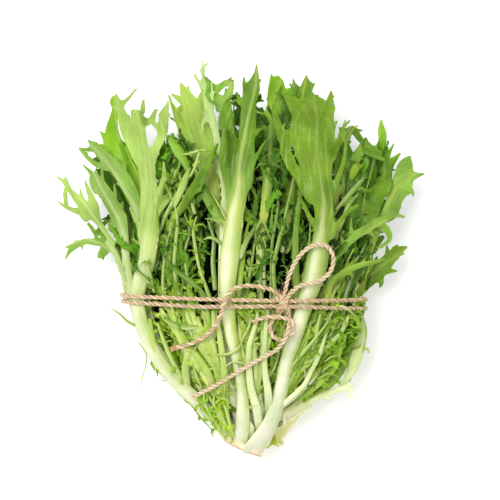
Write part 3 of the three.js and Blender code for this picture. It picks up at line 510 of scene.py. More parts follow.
def plied(shell, line, seed, loosen=0.0, swell=0.0, end_tint=(1.0, 1.0, 1.0)):
    """Lays a cord of twisted plies along a line. loosen opens the plies towards its end, and swell
    thickens its last few millimetres, which take the end tint."""
    rng = np.random.default_rng(seed)
    points, length = respaced(line, PLY_STEP)
    _, normal, side = carried_frame(points, (0.1, 0.2, 1.0))
    s = np.linspace(0, length, len(points))
    turn = 2 * math.pi * s / PLY_PITCH + rng.uniform(0, 6)
    wobble = Waves(seed, 7.0, 1)
    fray = loosen * smooth((s - (length - END_LENGTH)) / END_LENGTH)
    last = smooth((s - (length - 6)) / 3.5)
    around = circle(PLY_SIDES)
    for ply in range(PLIES):
        angle = turn + 2 * math.pi * ply / PLIES
        reach = PLY_OFFSET * (1 + 0.1 * wobble(s[:, None] + 31 * ply)) + fray * (1 + 0.4 * ply)
        middle = points + normal * (reach * np.cos(angle))[:, None] + side * (reach * np.sin(angle))[:, None]
        t, n, b = carried_frame(middle, normal[0])
        radius = PLY_RADIUS * (1 + 0.09 * wobble(1.7 * s[:, None] + 57 * ply))
        radius = radius * (1 - 0.45 * np.minimum(fray, 1)) * (1 + swell * last)
        ring = n[:, None] * np.cos(around)[None, :, None] + b[:, None] * np.sin(around)[None, :, None]
        tube = middle[:, None] + ring * radius[:, None, None]
        ends = middle[[0, -1]] + t[[0, -1]] * [[-0.3], [0.3]]
        places = np.zeros((len(points), PLY_SIDES, 3))
        places[..., 0] = s[:, None] + 200 * ply
        places[..., 1] = around[None] * PLY_RADIUS + s[:, None] * 0.35
        places = np.vstack([places.reshape(-1, 3), [[0, 0, 0], [s[-1], 0, 0]]])
        tint = TWINE_TINTS[(ply + seed) % len(TWINE_TINTS)] * rng.uniform(0.92, 1.08)
        # The side of a ply that faces the cord's middle lies in the groove, and gets painted shade.
        away = np.linalg.norm(tube - points[:, None], axis=2).ravel()
        tints = tint * mix(GROOVE_SHADE, 1.0, smooth((away - 0.65) / 0.65)[:, None])
        tints = tints * mix(1.0, np.array(end_tint), np.repeat(last, PLY_SIDES)[:, None])
        tints = tints * twine_shade(tube.reshape(-1, 3))
        shell.add(np.vstack([tube.reshape(-1, 3), ends]), tube_faces(len(points), PLY_SIDES),
                  np.vstack([tints, tints[[0, -1]]]), places)
    return points


def level_of(name, x):
    """How far up the head a turn of twine lies at x."""
    return float(np.interp(x, *np.array(TURNS[name], float).T))


def turn_line(name):
    """The middle of a turn of twine, found from its solid by looking outwards from the head's axis."""
    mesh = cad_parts[name].data
    tree = BVHTree.FromPolygons([v.co for v in mesh.vertices], [p.vertices[:] for p in mesh.polygons])
    _, middle, _ = outline_at(TIE_Y)
    line = []
    for angle in np.linspace(0, 2 * math.pi, 181)[:-1]:
        # The first angle looks just to the right of the knot, and they go round by way of the right side.
        away = math.radians(62) - angle
        outward = Vector((math.cos(away), 0, math.sin(away)))
        x = AXIS_X + 60 * outward.x
        for _ in range(4):
            foot = Vector((AXIS_X, level_of(name, x), middle)) * MM
            near = tree.ray_cast(foot, outward)[0]
            if near is None:
                break
            far = tree.ray_cast(near + outward * 0.0005, outward)[0]
            place = (near + (far or near)) / 2
            x = place.x / MM
        if near is not None:
            line.append(np.array(place) / MM)
    return np.array(line)


def at_knot(name, offsets):
    """Points of a turn of twine inside the knot."""
    return [(KNOT[0] + x, level_of(name, KNOT[0] + x), KNOT[2]) for x in offsets]


def make_turn(name, seed):
    """A turn of twine, from where it leaves the knot on the right to where it comes back on the left."""
    line = turn_line(name)
    clear = (np.abs(line[:, 0] - KNOT[0]) > KNOT_HALF + 3) | (line[:, 2] < KNOT[2] / 2)
    whole = np.vstack([at_knot(name, [KNOT_HALF]), line[clear], at_knot(name, [-KNOT_HALF])])
    shell = Shell()
    plied(shell, catmull_rom(whole, 6), seed)
    return shell


def make_knot():
    """Two crossed loops of twine round the two turns that pass through."""
    shell = Shell()
    for k, name in enumerate(TURNS):
        plied(shell, catmull_rom(at_knot(name, (-KNOT_HALF, 0, KNOT_HALF)), 8), 31 + k)
    a = np.linspace(0, 2 * math.pi, 40)
    x, y = 0.5 * np.sin(a / 2), KNOT_LOOP_STRETCH * KNOT_LOOP_RADIUS * np.cos(a)
    z = KNOT_LOOP_RADIUS * np.sin(a)
    for k, lean in enumerate(KNOT_LEANS):
        c, s = math.cos(math.radians(lean)), math.sin(math.radians(lean))
        plied(shell, np.stack([c * x - s * y, s * x + c * y, z], 1) + KNOT, 41 + k)
    return shell


def make_fuzz(lines):
    """Loose fibres that stand out of the twine, most of them near the knot and the ends."""
    rng = np.random.default_rng(88)
    shell = Shell()
    t = np.linspace(0, 1, FUZZ_ROWS)[:, None]
    for line, count in lines:
        tangent = unit(np.gradient(line, axis=0))
        for _ in range(count):
            i = rng.integers(len(line))
            out = unit(np.cross(tangent[i], unit(rng.normal(size=3))))
            heading = unit(out + tangent[i] * rng.uniform(-1.2, 1.2))
            bend = unit(rng.normal(size=3)) * rng.uniform(0.1, 0.5)
            length = rng.uniform(2.0, 6.5)
            spine = line[i] + out * CORD_RADIUS * 0.8 + heading * length * t + bend * length * t**2
            spine[:, 2] = np.maximum(spine[:, 2], FUZZ_LOWEST)
            half = FUZZ_HALF * (1 - 0.7 * t)
            first = unit(np.cross(heading, bend))
            second = unit(np.cross(heading, np.cross(heading, bend)))
            corners = [spine + half * corner for corner in (first, second, -first - second)]
            points = np.vstack([np.stack(corners, 1).reshape(-1, 3), spine[[0, -1]]])
            shell.add(points, tube_faces(FUZZ_ROWS, len(corners)), colour("e3c39c"))
    return shell


def make_cords():
    """The four free stretches of twine, the two turns round the head, the knot and the loose fibres."""
    twine = twine_material()
    lines = []
    for order, (name, route) in enumerate(FREE_CORDS.items()):
        before, after = DRAWN_IN[name]
        line = catmull_rom(before + route + after, 12)
        shell = Shell()
        points = plied(shell, line, 11 + order, *ENDS.get(name, ()))
        piece = shell.build(f"{name}_plied", twine, "twine", name)
        _, length = respaced(line, PLY_STEP)
        start = route[-1] if name in ENTERS_LAST else route[0]
        [v * MM for v in start]
        lines.append((points, int(length * CORD_FUZZ)))
    for order, name in enumerate(TURNS):
        make_turn(name, 21 + order).build(f"{name}_plied", twine, "twine", name)
        lines.append((turn_line(name), TURN_FUZZ))
    make_knot().build("twine_knot_plied", twine, "twine", "twine_knot")
    spread = np.random.default_rng(5).normal(size=(60, 3)) * (3.0, 4.5, 0.8) + KNOT
    lines.append((spread, KNOT_FUZZ))
    make_fuzz(lines).build("twine_fuzz", twine, "twine")


# ---- Leaves -----------------------------------------------------------------------------------------

# The outer and the inner face of a blade.
TONES = {
    "fresh": ("6c8d1b", "587f0f"),
    "deep": ("48751a", "375f0e"),
    "pale": ("9fb954", "7b9a38"),
    "silver": ("80a346", "5f822a"),
    "yellow": ("8fb41c", "76990f"),
    "white": ("e4e9c6", "c2d287"),
    "straw": ("e6e0a4", "d8cf74"),
    "spring": ("9fbb5e", "7c9c38"),
    "lime": ("7eac18", "659613"),
    "frost": ("b6cd8a", "93b060"),
    "olive": ("7fa340", "5f8424"),
    "middle": ("62881b", "50790f"),
}
RIB_PLACES = np.array([0.0, 0.35, 0.84, 0.93, 1.0])  # shares of the way from the foot to the blade
RIB_TINTS = {
    "usual": ("f0edda", "e9ebcc", "dfe6b4", "cad784", "b1c355"),
    "long": ("f0edda", "ebedd2", "e6eac2", "dde5ae", "c2d080"),
    "middle": ("f2efdc", "d5de9c", "e0e8b4", "d2dc94", "c4d27a"),
    "left": ("f0edda", "e9ebcc", "dfe6b4", "cedb94", "aac468"),
    "silver": ("f0edda", "e9ebcc", "e3ebc0", "d6e4a8", "cadb98"),
    "white": ("f0edda", "eeedd4", "ecebcc", "e9e9c4", "e6e8bc"),
}
LOBE_TIP = 0.3
BACK_CURVE = 0.006  # how fast a blade's edges curve back, per millimetre
BLADE_STEP = 1.05  # the size of a blade's triangles
RIPPLE = 1.6  # how far a blade's edges wave up and down
BLADE_LOWEST = 0.4  # above the surface that the head lies on
PETIOLE_SIDES = 30
PETIOLE_STEP = 2.2
PETIOLE_LOWEST = 0.15
FOOT_DEPTH = 5.0  # how far the outer ribs run on into the stump
OVERRUN = 30  # millimetres that a rib's frames run on past its tip


def leaf(name, ring, angle, tone, route, rib, blade, web, lobes, reach, roll, peak=0.5, full=False, **looks):
    """One leaf, with the numbers of its solid. looks are those that only the finished leaf has:
    webbing, how far the blade between its lobes reaches towards the edge of the solid's. tint and tip,
    the tones of the blade and of its far end. pale, how far the rib's colour spreads over the blade.
    fade, how much of it is left at the midrib's tip. wings, how much of the blade's green runs down the
    rib's sides. flare, how much wider the foot is. girth, places along the petiole and its shares of
    the solid's width there. stem, its tints, streak, how strongly a painted highlight whitens its pale
    ridge, and flank, how much painted shade darkens and greens its right side."""
    return {"name": name, "ring": ring, "angle": angle, "tone": tone, "route": route, "rib": rib,
            "blade": blade, "web": web, "lobes": lobes, "reach": reach, "roll": roll, "peak": peak,
            "full": full, "webbing": 0.12, "pale": 0.0, "flare": 0.35, "stem": "usual", "wings": 0.0,
            "fade": 0.6, "flank": 0.4, "streak": 0.42, "girth": ((0,), (1,)), "tint": tone,
            "tip": looks.get("tint", tone), **looks}


LEAVES = [
    leaf("centre", 0, 97, "fresh", [(2, -105, 56), (1.8, -85, 66), (-1.2, -66, 74), (-5.6, -46, 80),
         (-7.4, -27, 84), (-6.8, -7, 88), (-4.6, 12, 90), (-2.6, 29, 90), (-0.4, 45, 88), (0, 61, 86),
         (3, 77, 82), (7, 97, 76), (10, 110, 71), (11, 121.5, 67)],
         rib=(9, 11, 2.2), blade=0.6, web=8, peak=0.5, lobes=11, reach=15, roll=0, tint="middle", wings=0.3,
         flare=0.2, stem="middle", flank=0.9, streak=0.7,
         girth=((0, 25, 48, 88, 112, 130, 150), (1, 0.88, 0.74, 0.84, 0.98, 1.15, 1.02)), full=True),
    leaf("right_broad", 0, 42, "fresh", [(21, -105, 52), (27, -85, 61), (31, -66, 69), (37, -46, 75),
         (43, -27, 79), (48, -10, 84), (51, 6, 87), (53, 22, 88), (54, 35, 88), (52, 51, 86), (50, 68, 83),
         (50, 84, 79), (48, 104, 73)],
         rib=(9.5, 14, 3), blade=0.55, web=13, peak=0.8, lobes=12, reach=9, roll=6, fade=0.3, wings=0.85,
         flare=1.6, stem="long", flank=0.9, streak=0.7,
         girth=((0, 30, 50, 100, 128, 145), (1, 0.86, 0.8, 0.82, 1.0, 1.1)), full=True),
    leaf("left_front", 0, 147, "fresh", [(-16, -104, 50), (-28, -92, 57), (-43, -78, 61), (-58, -56, 65),
         (-66, -30, 67), (-64, -14, 70), (-60, -2, 74), (-58, 12, 78), (-57, 29, 80), (-57, 45, 80),
         (-59, 61, 79), (-61, 74, 76), (-64, 92, 69), (-68, 109, 61)],
         rib=(9, 12, 2.5), blade=0.64, web=9, peak=0.6, lobes=9, reach=19, roll=-6, tint="spring", pale=0.6,
         flare=0.5, stem="left", flank=0.6, full=True),
    leaf("low_curl", 0, -6, "white", [(18, -117, 33), (28, -108, 35), (46, -97, 36), (60, -90, 37),
         (73, -84, 37)],
         rib=(8, 6, 3.5), blade=0.35, web=1.5, lobes=6, reach=7, roll=10, stem="white", full=True),
    leaf("low_yellow", 0, -52, "yellow", [(13, -117, 21.5), (21, -111, 18), (32, -103, 15), (42, -93, 15)],
         rib=(8, 6, 2.5), blade=0.25, web=5, lobes=6, reach=5, roll=30, tint="straw", stem="white",
         full=True),
    leaf("under_middle", 0, -100, "deep", [(0, -103, 11), (0, -84, 4.5), (1, -65, 1.2), (3, -46, 5),
         (4, -27, 7.6), (5, -5, 7), (6, 22, 7), (8, 50, 9), (8, 74, 15), (6, 94, 23)],
         rib=(9, 11, 2.5), blade=0.5, web=9, lobes=10, reach=16, roll=178, webbing=0.5, full=True),
    leaf("under_left", 0, -153, "deep", [(-21, -103, 17), (-36, -84, 11), (-45, -62, 7), (-47, -42, 11),
         (-47, -27, 15.5), (-46, -6, 6), (-45, 18, 1.1), (-44, 38, 4), (-46, 56, 11), (-50, 76, 19)],
         rib=(9, 10, 2.5), blade=0.56, web=9, lobes=9, reach=15, roll=-172, webbing=0.5, full=True),
    leaf("tall_slim", 1, 96, "pale", [(-11, -27, 75.5), (-11, 0, 79.5), (-10, 25, 81), (-10, 44, 80),
         (-12, 58, 78), (-16, 77, 73), (-20, 103, 64), (-23, 129, 55)],
         rib=(6, 5, 1.8), blade=0.6, web=2.5, lobes=12, reach=8, roll=-8, tint="frost", pale=0.4,
         stem="silver"),
    leaf("middle_dark", 1, 61, "deep", [(14, -88, 56), (13, -72, 63), (12, -56, 69), (14, -27, 75.5),
         (14, 12, 81), (18, 51, 79), (20, 75, 73), (21, 97, 65), (26, 114, 58)],
         rib=(6, 6, 2), blade=0.55, web=5, lobes=11, reach=13, roll=5, tip="lime", full=True),
    leaf("diagonal", 1, 130, "deep", [(-42, -27, 71), (-46, -2, 73), (-45, 16, 74), (-36, 42, 79),
         (-25, 60, 82), (-17, 73, 82)],
         rib=(6, 5, 1.6), blade=0.6, web=3, lobes=10, reach=8, roll=-10, tint="middle"),
    leaf("left_silver", 1, 172, "silver", [(-69, -27, 57), (-74, 2, 58), (-77, 22, 60), (-84, 36, 60),
         (-91, 48, 58), (-97, 62, 54), (-101, 76, 50)],
         rib=(5.5, 6, 1.8), blade=0.55, web=5, lobes=10, reach=13, roll=-20, pale=0.45, stem="silver"),
    leaf("left_low", 1, 197, "silver", [(-71, -27, 37), (-78, -4, 38), (-86, 6, 39), (-94, 11, 40),
         (-103, 13, 39), (-117, 7, 36)],
         rib=(6, 5, 1.8), blade=0.6, web=3.5, lobes=8, reach=11, roll=-15, stem="silver"),
    leaf("right_side", 1, 26, "fresh", [(30, -88, 51), (39, -70, 58.5), (49, -48, 66), (56, -27, 70.5),
         (60, -14, 75), (66, -8, 76), (74, -4, 75), (81, -2, 72), (89, -1, 68)],
         rib=(5, 5, 1.8), blade=0.62, web=3, lobes=7, reach=12, roll=12, full=True),
    leaf("right_slender", 1, -1, "silver", [(68, -27, 58), (68, -8, 63), (75, 8, 69), (85, 19, 69),
         (95, 25, 66), (107, 28, 61)],
         rib=(6, 5, 1.6), blade=0.62, web=2.5, lobes=8, reach=11, roll=14, tint="olive"),
    leaf("right_low", 1, -28, "pale", [(74, -27, 34), (83, -13, 37), (96, -3, 38), (110, 6, 36)],
         rib=(7, 6.5, 2), blade=0.66, web=5, lobes=8, reach=10, roll=18, tint="fresh"),
    leaf("under_right", 1, -52, "deep", [(30, -88, 9), (40, -66, 7), (45, -46, 11), (47, -27, 15.2),
         (46, -6, 6), (44, 18, 1.1), (44, 38, 4), (46, 56, 11), (50, 78, 20)],
         rib=(7, 9, 2.5), blade=0.56, web=9, lobes=9, reach=15, roll=172, webbing=0.5, full=True),
    leaf("back_pale", 2, 120, "pale", [(-18, -27, 66), (-17, 0, 69), (-15, 30, 69), (-18, 60, 66),
         (-28, 90, 59), (-38, 114, 52)],
         rib=(5.5, 7, 2.5), blade=0.6, web=15, peak=0.55, lobes=9, reach=8, roll=-4),
    leaf("folded", 2, 87, "pale", [(-2, -27, 69), (-3, 0, 74), (-4, 40, 74), (-6, 65, 73), (-7, 90, 68),
         (-10, 114, 61)],
         rib=(5.5, 5, 2), blade=0.66, web=3, lobes=8, reach=8, roll=40, tint="olive"),
    leaf("top_right", 2, 54, "fresh", [(19, -80, 52), (20, -64, 60), (21, -46, 65), (24, -27, 69),
         (31, 18, 74), (36, 58, 71), (40, 98, 61), (44, 121, 53)],
         rib=(5.5, 6, 2.5), blade=0.58, web=9, peak=0.7, lobes=10, reach=11, roll=8, tint="deep",
         tip="middle", full=True),
    leaf("right_arch", 2, 22, "pale", [(49, -27, 60), (57, 15, 66), (64, 48, 67), (69, 74, 62),
         (77, 87, 55), (89, 82, 48)],
         rib=(5.5, 6, 2), blade=0.6, web=7, lobes=9, reach=13, roll=25, tint="olive", tip="middle"),
    leaf("left_upper", 2, 150, "silver", [(-60, -27, 58), (-62, 0, 63), (-66, 29, 68), (-74, 45, 69),
         (-84, 60, 67), (-94, 71, 63), (-102, 78, 58)],
         rib=(5.5, 6, 2), blade=0.58, web=6, lobes=9, reach=10, roll=-14, pale=0.45, stem="silver"),
    leaf("left_tip", 2, 176, "yellow", [(-72, -27, 47), (-79, -2, 49), (-87, 13, 50), (-93, 24, 50),
         (-99, 33, 48), (-106, 42, 45), (-111, 49, 42)],
         rib=(5.5, 5, 1.8), blade=0.6, web=5, lobes=9, reach=13, roll=-12, tint="spring", stem="silver"),
    leaf("under_far_left", 2, 212, "deep", [(-64, -27, 25), (-68, 0, 25), (-74, 24, 25), (-82, 46, 27),
         (-88, 66, 30)],
         rib=(5.5, 6, 2), blade=0.6, web=7, lobes=8, reach=12, roll=-160, webbing=0.5),
    leaf("under_far_right", 2, -30, "deep", [(68, -27, 24), (74, 0, 24), (81, 24, 25), (87, 46, 27),
         (90, 68, 30)],
         rib=(5.5, 6, 2), blade=0.6, web=7, lobes=8, reach=12, roll=160, webbing=0.5),
    leaf("upper_left", 3, 148, "yellow", [(-46, -27, 61), (-51, 2, 64), (-58, 32, 66), (-66, 55, 65),
         (-74, 72, 62), (-80, 90, 57), (-82, 108, 51)],
         rib=(5, 6, 2.2), blade=0.6, web=10, peak=0.6, lobes=8, reach=8, roll=-18, tint="lime"),
    leaf("right_tall", 3, 5, "yellow", [(66, -27, 50), (74, 6, 54), (80, 35, 55), (88, 65, 50), (93, 92, 42)],
         rib=(5, 5.5, 2), blade=0.58, web=4, lobes=9, reach=12, roll=16, tint="middle", tip="lime"),
    leaf("right_far", 3, -13, "yellow", [(73, -27, 43), (83, 0, 46), (94, 27, 46), (102, 45, 45),
         (110, 54, 43), (120, 57, 41)],
         rib=(5, 5, 2), blade=0.58, web=6, lobes=9, reach=11, roll=18, tint="olive", pale=0.3),
    leaf("inner_left", 3, 108, "deep", [(-34, -27, 63), (-34, 0, 66), (-34, 25, 68), (-37, 50, 67),
         (-41, 74, 61)],
         rib=(5, 4.5, 1.6), blade=0.5, web=3, lobes=11, reach=12, roll=-8, webbing=0.5),
    leaf("inner_stem", 3, 42, "fresh", [(36, -27, 61), (37, 0, 65), (36, 22, 67), (33, 46, 66), (30, 66, 62)],
         rib=(5, 4.5, 1.6), blade=0.5, web=3, lobes=10, reach=10, roll=6, webbing=0.5),
    leaf("under_centre", 3, -88, "deep", [(4, -27, 20), (5, 5, 20), (6, 40, 22), (6, 76, 27), (5, 104, 33)],
         rib=(5, 6, 2), blade=0.55, web=9, lobes=8, reach=14, roll=176, webbing=0.5),
]

# The lobes of the leaves that show, as seen from above: for each the number of teeth, how far it bends
# out of the blade, and its places x, y with half its width there, in pixels.
SHAPES = {
    "left_front": [
        (0, 0, [(150, 238, 6.4), (148.5, 215, 6.4), (148, 200, 6.6), (148, 180, 7.2), (147, 166, 8.6),
         (145, 156, 8.4)]),
        (2, 0.1, [(142, 160, 7), (136, 147, 7.4), (129, 132, 7.4), (124, 120, 6.2), (120.6, 108, 3.6),
         (117.5, 97, 1.4)]),
        (0, 0.25, [(121.5, 109, 2.6), (126, 102, 2.4), (131, 96.5, 1.8), (137.5, 91.5, 0.7)]),
        (1, 0.9, [(139, 152, 6.6), (136, 140, 7), (135.5, 131, 7)]),
        (0, 1, [(143, 152, 5.6), (142.5, 140, 6.2), (142, 130, 6.8), (142, 123, 5)]),
        (0, 0.6, [(146, 130, 2.6), (152, 123, 2.2), (158.4, 115, 0.9)]),
        (0, 0.1, [(142.6, 120, 2), (143.4, 110, 2.4), (144.2, 100.5, 0.8)]),
        (2, 0.15, [(152, 162, 5), (156.5, 150, 4.4), (162.5, 139, 4.6), (164.5, 127, 4.8),
         (166.5, 115, 3.8), (169.4, 104.5, 0.8)]),
        (0, 0.5, [(160.6, 131, 2.4), (155, 125, 1.8), (158.4, 116, 0.8)]),
        (1, 0.5, [(152, 214, 3), (157, 200, 3.2), (163, 188, 2.6), (167, 177, 2.2), (168, 166, 0.7)]),
        (1, 0.3, [(143, 232, 2.4), (137, 219, 1.5), (133, 208, 0.7)]),
        (3, -0.5, [(153, 224, 2.6), (160, 209, 3.2), (170, 194, 3.2), (178, 181, 2.2), (184, 175, 0.7)]),
    ],
    "centre": [
        (0, 0, [(235, 226, 6.5), (236.5, 206, 8.6), (237.5, 190, 10.5), (239, 176, 12.5)]),
        (1, 0.55, [(234, 198, 6), (228, 178, 5), (224.5, 160, 4.6), (224, 146, 3), (224.8, 133, 0.7)]),
        (4, -0.1, [(237, 178, 8), (233, 152, 6.6), (230.5, 135, 5), (229, 117, 4.2), (227.6, 98, 3.2),
         (226.6, 84, 0.9)]),
        (3, 0.12, [(243, 184, 9), (246, 164, 8), (246.5, 145, 8), (247.6, 126, 8.2), (248.6, 107, 7),
         (250.8, 95, 8.2), (254.3, 86, 4.4), (256, 78, 2), (256, 71, 0.6)]),
        (0, 0.3, [(247.5, 95, 3.4), (244.5, 88, 2.2), (243.5, 80.5, 0.7)]),
        (0, 0.2, [(243, 108, 1.8), (236.5, 104.5, 0.5)]),
        (1, 0.3, [(249, 178, 3), (254, 163, 1.9), (260, 153, 1.6), (265.5, 144.5, 0.6)]),
        (1, 0.3, [(240, 256, 3), (246, 243, 2), (253, 231, 1.7), (256, 224, 0.7)]),
        (1, 0.3, [(230, 232, 2), (223, 222, 1.8), (214, 219, 0.9)]),
    ],
    "right_broad": [
        (0, 0, [(326, 232, 8), (323, 212, 9.2), (320, 195, 10.5), (318, 182, 12.5)]),
        (7, 0.05, [(318, 188, 11), (316, 170, 15), (314, 154, 18.5), (312.5, 140, 21), (312, 126, 21.4),
         (312.5, 116, 19.5)]),
        (1, 0.25, [(303, 116, 8), (297, 106, 5), (293, 100, 2)]),
        (0, 0.5, [(312, 112, 9), (311, 106, 6), (310, 100, 2)]),
        (1, -0.35, [(325, 115, 7), (329, 105, 5), (330.5, 97, 3.2), (331.8, 88.5, 1)]),
        (4, 0.1, [(311, 200, 5.6), (301, 184, 5), (292, 168, 4.8), (285, 151, 4.8), (279, 134, 4.2),
         (275, 119, 3), (272.5, 108, 0.7)]),
        (0, 0.1, [(296, 142, 3), (286.5, 145.5, 0.6)]),
        (0, 0.1, [(296, 130, 3), (287.5, 131.5, 0.6)]),
        (0, 0.1, [(290, 161, 2.4), (281.6, 153.5, 0.6)]),
        (1, 0.2, [(330, 158, 5), (337, 144, 3), (341, 134, 2.2), (343.8, 122, 0.7)]),
        (1, 0.4, [(330, 196, 4), (337, 178, 2.6), (341.5, 163, 2), (343, 150, 1.6), (342, 137, 0.7)]),
        (1, 0.5, [(316, 228, 3), (306, 214, 2), (299, 203, 1.6), (296, 194, 0.7)]),
        (0, 0.3, [(330, 236, 3), (338, 222, 2.2), (347, 211, 1.8), (357, 206, 0.7)]),
    ],
    "tall_slim": [
        (2, 0, [(219, 172, 2.4), (218.5, 150, 3), (216, 134, 3.4), (211, 117, 4.2), (206.5, 99, 4.2),
         (203.5, 84, 3.4), (202.4, 72, 1.4), (201.6, 57, 0.5)]),
        (0, 0.2, [(202.6, 69, 1.1), (205, 65, 1.1), (208.8, 62, 0.5)]),
        (0, 0.2, [(202.4, 71, 1), (199.6, 67.5, 0.5)]),
        (0, 0.2, [(202.6, 88, 2.4), (198, 80, 1.5), (194, 73.5, 1), (196.5, 72.5, 0.5)]),
        (1, 0.4, [(211, 108, 2.6), (212.8, 97, 1.8), (213.3, 87, 0.6)]),
        (0, 0.3, [(206, 120, 2.4), (203, 126, 1.2), (205, 134, 0.5)]),
    ],
    "folded": [
        (2, 0.2, [(224, 150, 3), (222.5, 132, 3.6), (222, 116, 3.4), (224, 100, 2.8), (226, 84, 0.9)]),
        (0, -0.4, [(217, 112, 3), (216.5, 102, 5), (215.5, 92, 5.6), (213, 83, 3.6), (211.4, 75, 0.9)]),
        (1, 0.3, [(219, 90, 3), (224, 83, 2.2), (231, 79.8, 0.7)]),
        (0, 0.3, [(224, 104, 2.4), (229.5, 103, 1.8), (233.6, 99, 0.6)]),
    ],
    "back_pale": [
        (0, 0, [(212, 190, 5), (207, 172, 7), (203, 157, 10.5)]),
        (4, 0.05, [(203, 157, 10), (199.5, 141, 14), (195.5, 125, 13), (191.5, 109, 10), (186.5, 96, 6),
         (181, 84, 1.2)]),
        (2, 0.3, [(192, 150, 7), (183, 131, 4.6), (176.5, 114, 2.6), (170.8, 98, 0.7)]),
        (1, 0.1, [(204, 122, 7), (204, 108, 3), (202.5, 98, 0.8)]),
    ],
    "middle_dark": [
        (4, 0, [(265, 215, 3), (266.5, 193, 4.4), (271, 165, 6), (272, 142, 6.4), (273, 120, 6.4),
         (276, 104, 8.4), (277.5, 92, 9), (276.5, 83, 7)]),
        (1, 0.2, [(282, 98, 6), (288, 92, 4.4), (292.5, 88, 1)]),
        (0, 0.3, [(274, 92, 4), (271.5, 82, 1.6), (270.6, 76, 0.7)]),
        (1, 0.4, [(268, 180, 3), (262, 168, 2), (257, 160, 0.7)]),
        (2, -0.3, [(274, 128, 4), (265, 116, 2.4), (258, 108, 1.6), (254, 103, 0.7)]),
        (1, 0.4, [(271, 150, 3), (283, 138, 2.4), (289, 128, 0.8)]),
    ],
    "top_right": [
        (3, 0, [(302, 140, 5), (302, 122, 8), (303, 106, 9), (305, 94, 6.6), (306.5, 84, 4.6),
         (306.6, 75, 0.9)]),
        (2, 0.4, [(300, 112, 6), (295, 98, 4.4), (292.5, 86, 2), (291.6, 82, 0.7)]),
        (1, -0.3, [(306, 96, 4), (311, 88, 2.4), (312.2, 80, 0.9)]),
        (1, 0.5, [(305, 104, 5), (313, 98, 3), (318, 95, 0.8)]),
    ],
    "upper_left": [
        (1, 0, [(140, 215, 4), (132, 196, 6), (125, 176, 9), (118, 158, 10), (113, 144, 9.6),
         (111, 131, 7.4), (112.6, 118, 4.4), (113.6, 108, 2.4), (112, 101, 3.2), (112.4, 97, 2.8)]),
        (1, 0.3, [(112, 152, 6), (104, 146, 3), (98.8, 142.5, 0.7)]),
        (3, -0.3, [(138, 200, 5), (135, 184, 7.4), (131, 170, 7.6), (126, 157, 6), (122, 146, 3)]),
        (1, 0.3, [(122, 170, 6), (131, 158, 4), (136, 150, 0.8)]),
    ],
    "left_upper": [
        (5, 0, [(143, 222, 3), (138, 205, 5.4), (129, 187, 7.4), (116, 168, 6.6), (103, 156, 5.4),
         (96, 148, 4.2), (88.5, 140.5, 0.9)]),
        (1, 0.3, [(110, 166, 3.4), (98, 165, 2.6), (90, 158, 1.8), (84.5, 150, 0.7)]),
        (0, 0.3, [(106, 154, 2), (108.5, 147.5, 0.6)]),
        (0, 0.3, [(115, 164, 2), (117.6, 158.6, 0.6)]),
        (0, 0.3, [(95, 145, 2.4), (90.5, 148, 1.2), (86, 150.6, 0.5)]),
    ],
    "left_silver": [
        (4, 0, [(124.5, 262, 2.6), (124.5, 240, 4), (121, 224, 6.6), (112, 205, 7.4), (103, 190, 6.4),
         (96, 179, 4.6), (89, 171, 2), (82.3, 164, 0.6)]),
        (0, 0.4, [(100, 186, 3), (104, 176, 1.8), (106.6, 168.6, 0.6)]),
        (0, 0.5, [(113, 204, 2.4), (116, 194, 1.6), (116.4, 184.5, 0.6)]),
        (0, 0.4, [(119, 210, 2.4), (123, 204, 1.4), (125, 200, 0.5)]),
        (0, 0.4, [(96, 190, 3.4), (91, 184, 1.8), (90.6, 177.5, 0.6)]),
        (1, -0.5, [(114, 220, 5), (110, 229, 4), (112, 236, 2), (118, 242, 0.7)]),
        (0, 0.4, [(123, 228, 3), (126, 218, 1.2), (125.6, 213, 0.5)]),
    ],
    "left_low": [
        (0, 0, [(123.5, 268, 3), (119, 257, 3.4), (109, 246, 3.4), (91, 242, 3.2), (77, 243, 2.6),
         (63, 247.2, 0.7)]),
        (0, 0.3, [(74, 243.6, 3.2), (68, 251, 2), (65, 259, 0.6)]),
        (1, 0.1, [(106, 247, 4), (101, 252, 5.4), (98, 255, 3.4)]),
        (0, -0.4, [(105, 243, 2), (98, 232, 2), (100, 225, 2.4), (106, 222, 2), (109, 226, 0.7)]),
        (0, 0.2, [(95, 240, 1.6), (91, 230, 1.4), (86, 221.4, 0.6)]),
        (0, 0.2, [(80, 243.5, 1.6), (79.5, 249.5, 0.6)]),
    ],
    "left_tip": [
        (0, 0, [(113, 243, 2), (105, 233, 2.4), (96, 220, 3.6), (87, 210, 5.4), (77, 200, 4.4),
         (68, 190, 2.6), (61, 181, 1.8), (53.6, 174.8, 0.6)]),
        (1, -0.1, [(88, 213, 5), (78, 211, 3.6), (68, 208, 2.2), (60, 204, 1.4), (53.8, 199.5, 0.6)]),
        (0, 0.1, [(64, 203, 1.4), (62, 194, 2), (61.6, 187.6, 0.7)]),
        (0, 0.2, [(82, 203, 2.4), (80, 194, 1.2), (79.4, 186.8, 0.5)]),
        (0, 0.2, [(92, 210, 3.4), (90, 196, 3), (87.2, 187, 2), (85.4, 181.5, 0.6)]),
        (0, 0.2, [(96, 216, 2.4), (95.6, 205, 1.4), (92, 196, 0.8)]),
        (0, 0, [(86, 215, 4), (84, 219, 2.4), (79, 216, 0.8)]),
        (0, 0.1, [(64, 183, 1.4), (63.5, 178, 1.2), (61.6, 175, 0.5)]),
    ],
    "diagonal": [
        (4, 0.1, [(160, 246, 1.4), (165, 235, 2), (173, 222, 2.8), (186, 203, 3.8), (198, 185, 4.4),
         (207, 170, 4), (214, 157, 2.6), (219.5, 145.5, 0.6)]),
        (0, 0.3, [(196, 190, 2), (204, 184.5, 0.6)]),
        (0, 0.3, [(186, 205, 1.6), (190, 210, 0.5)]),
        (0, 0.3, [(176, 217, 1.4), (171, 212, 0.5)]),
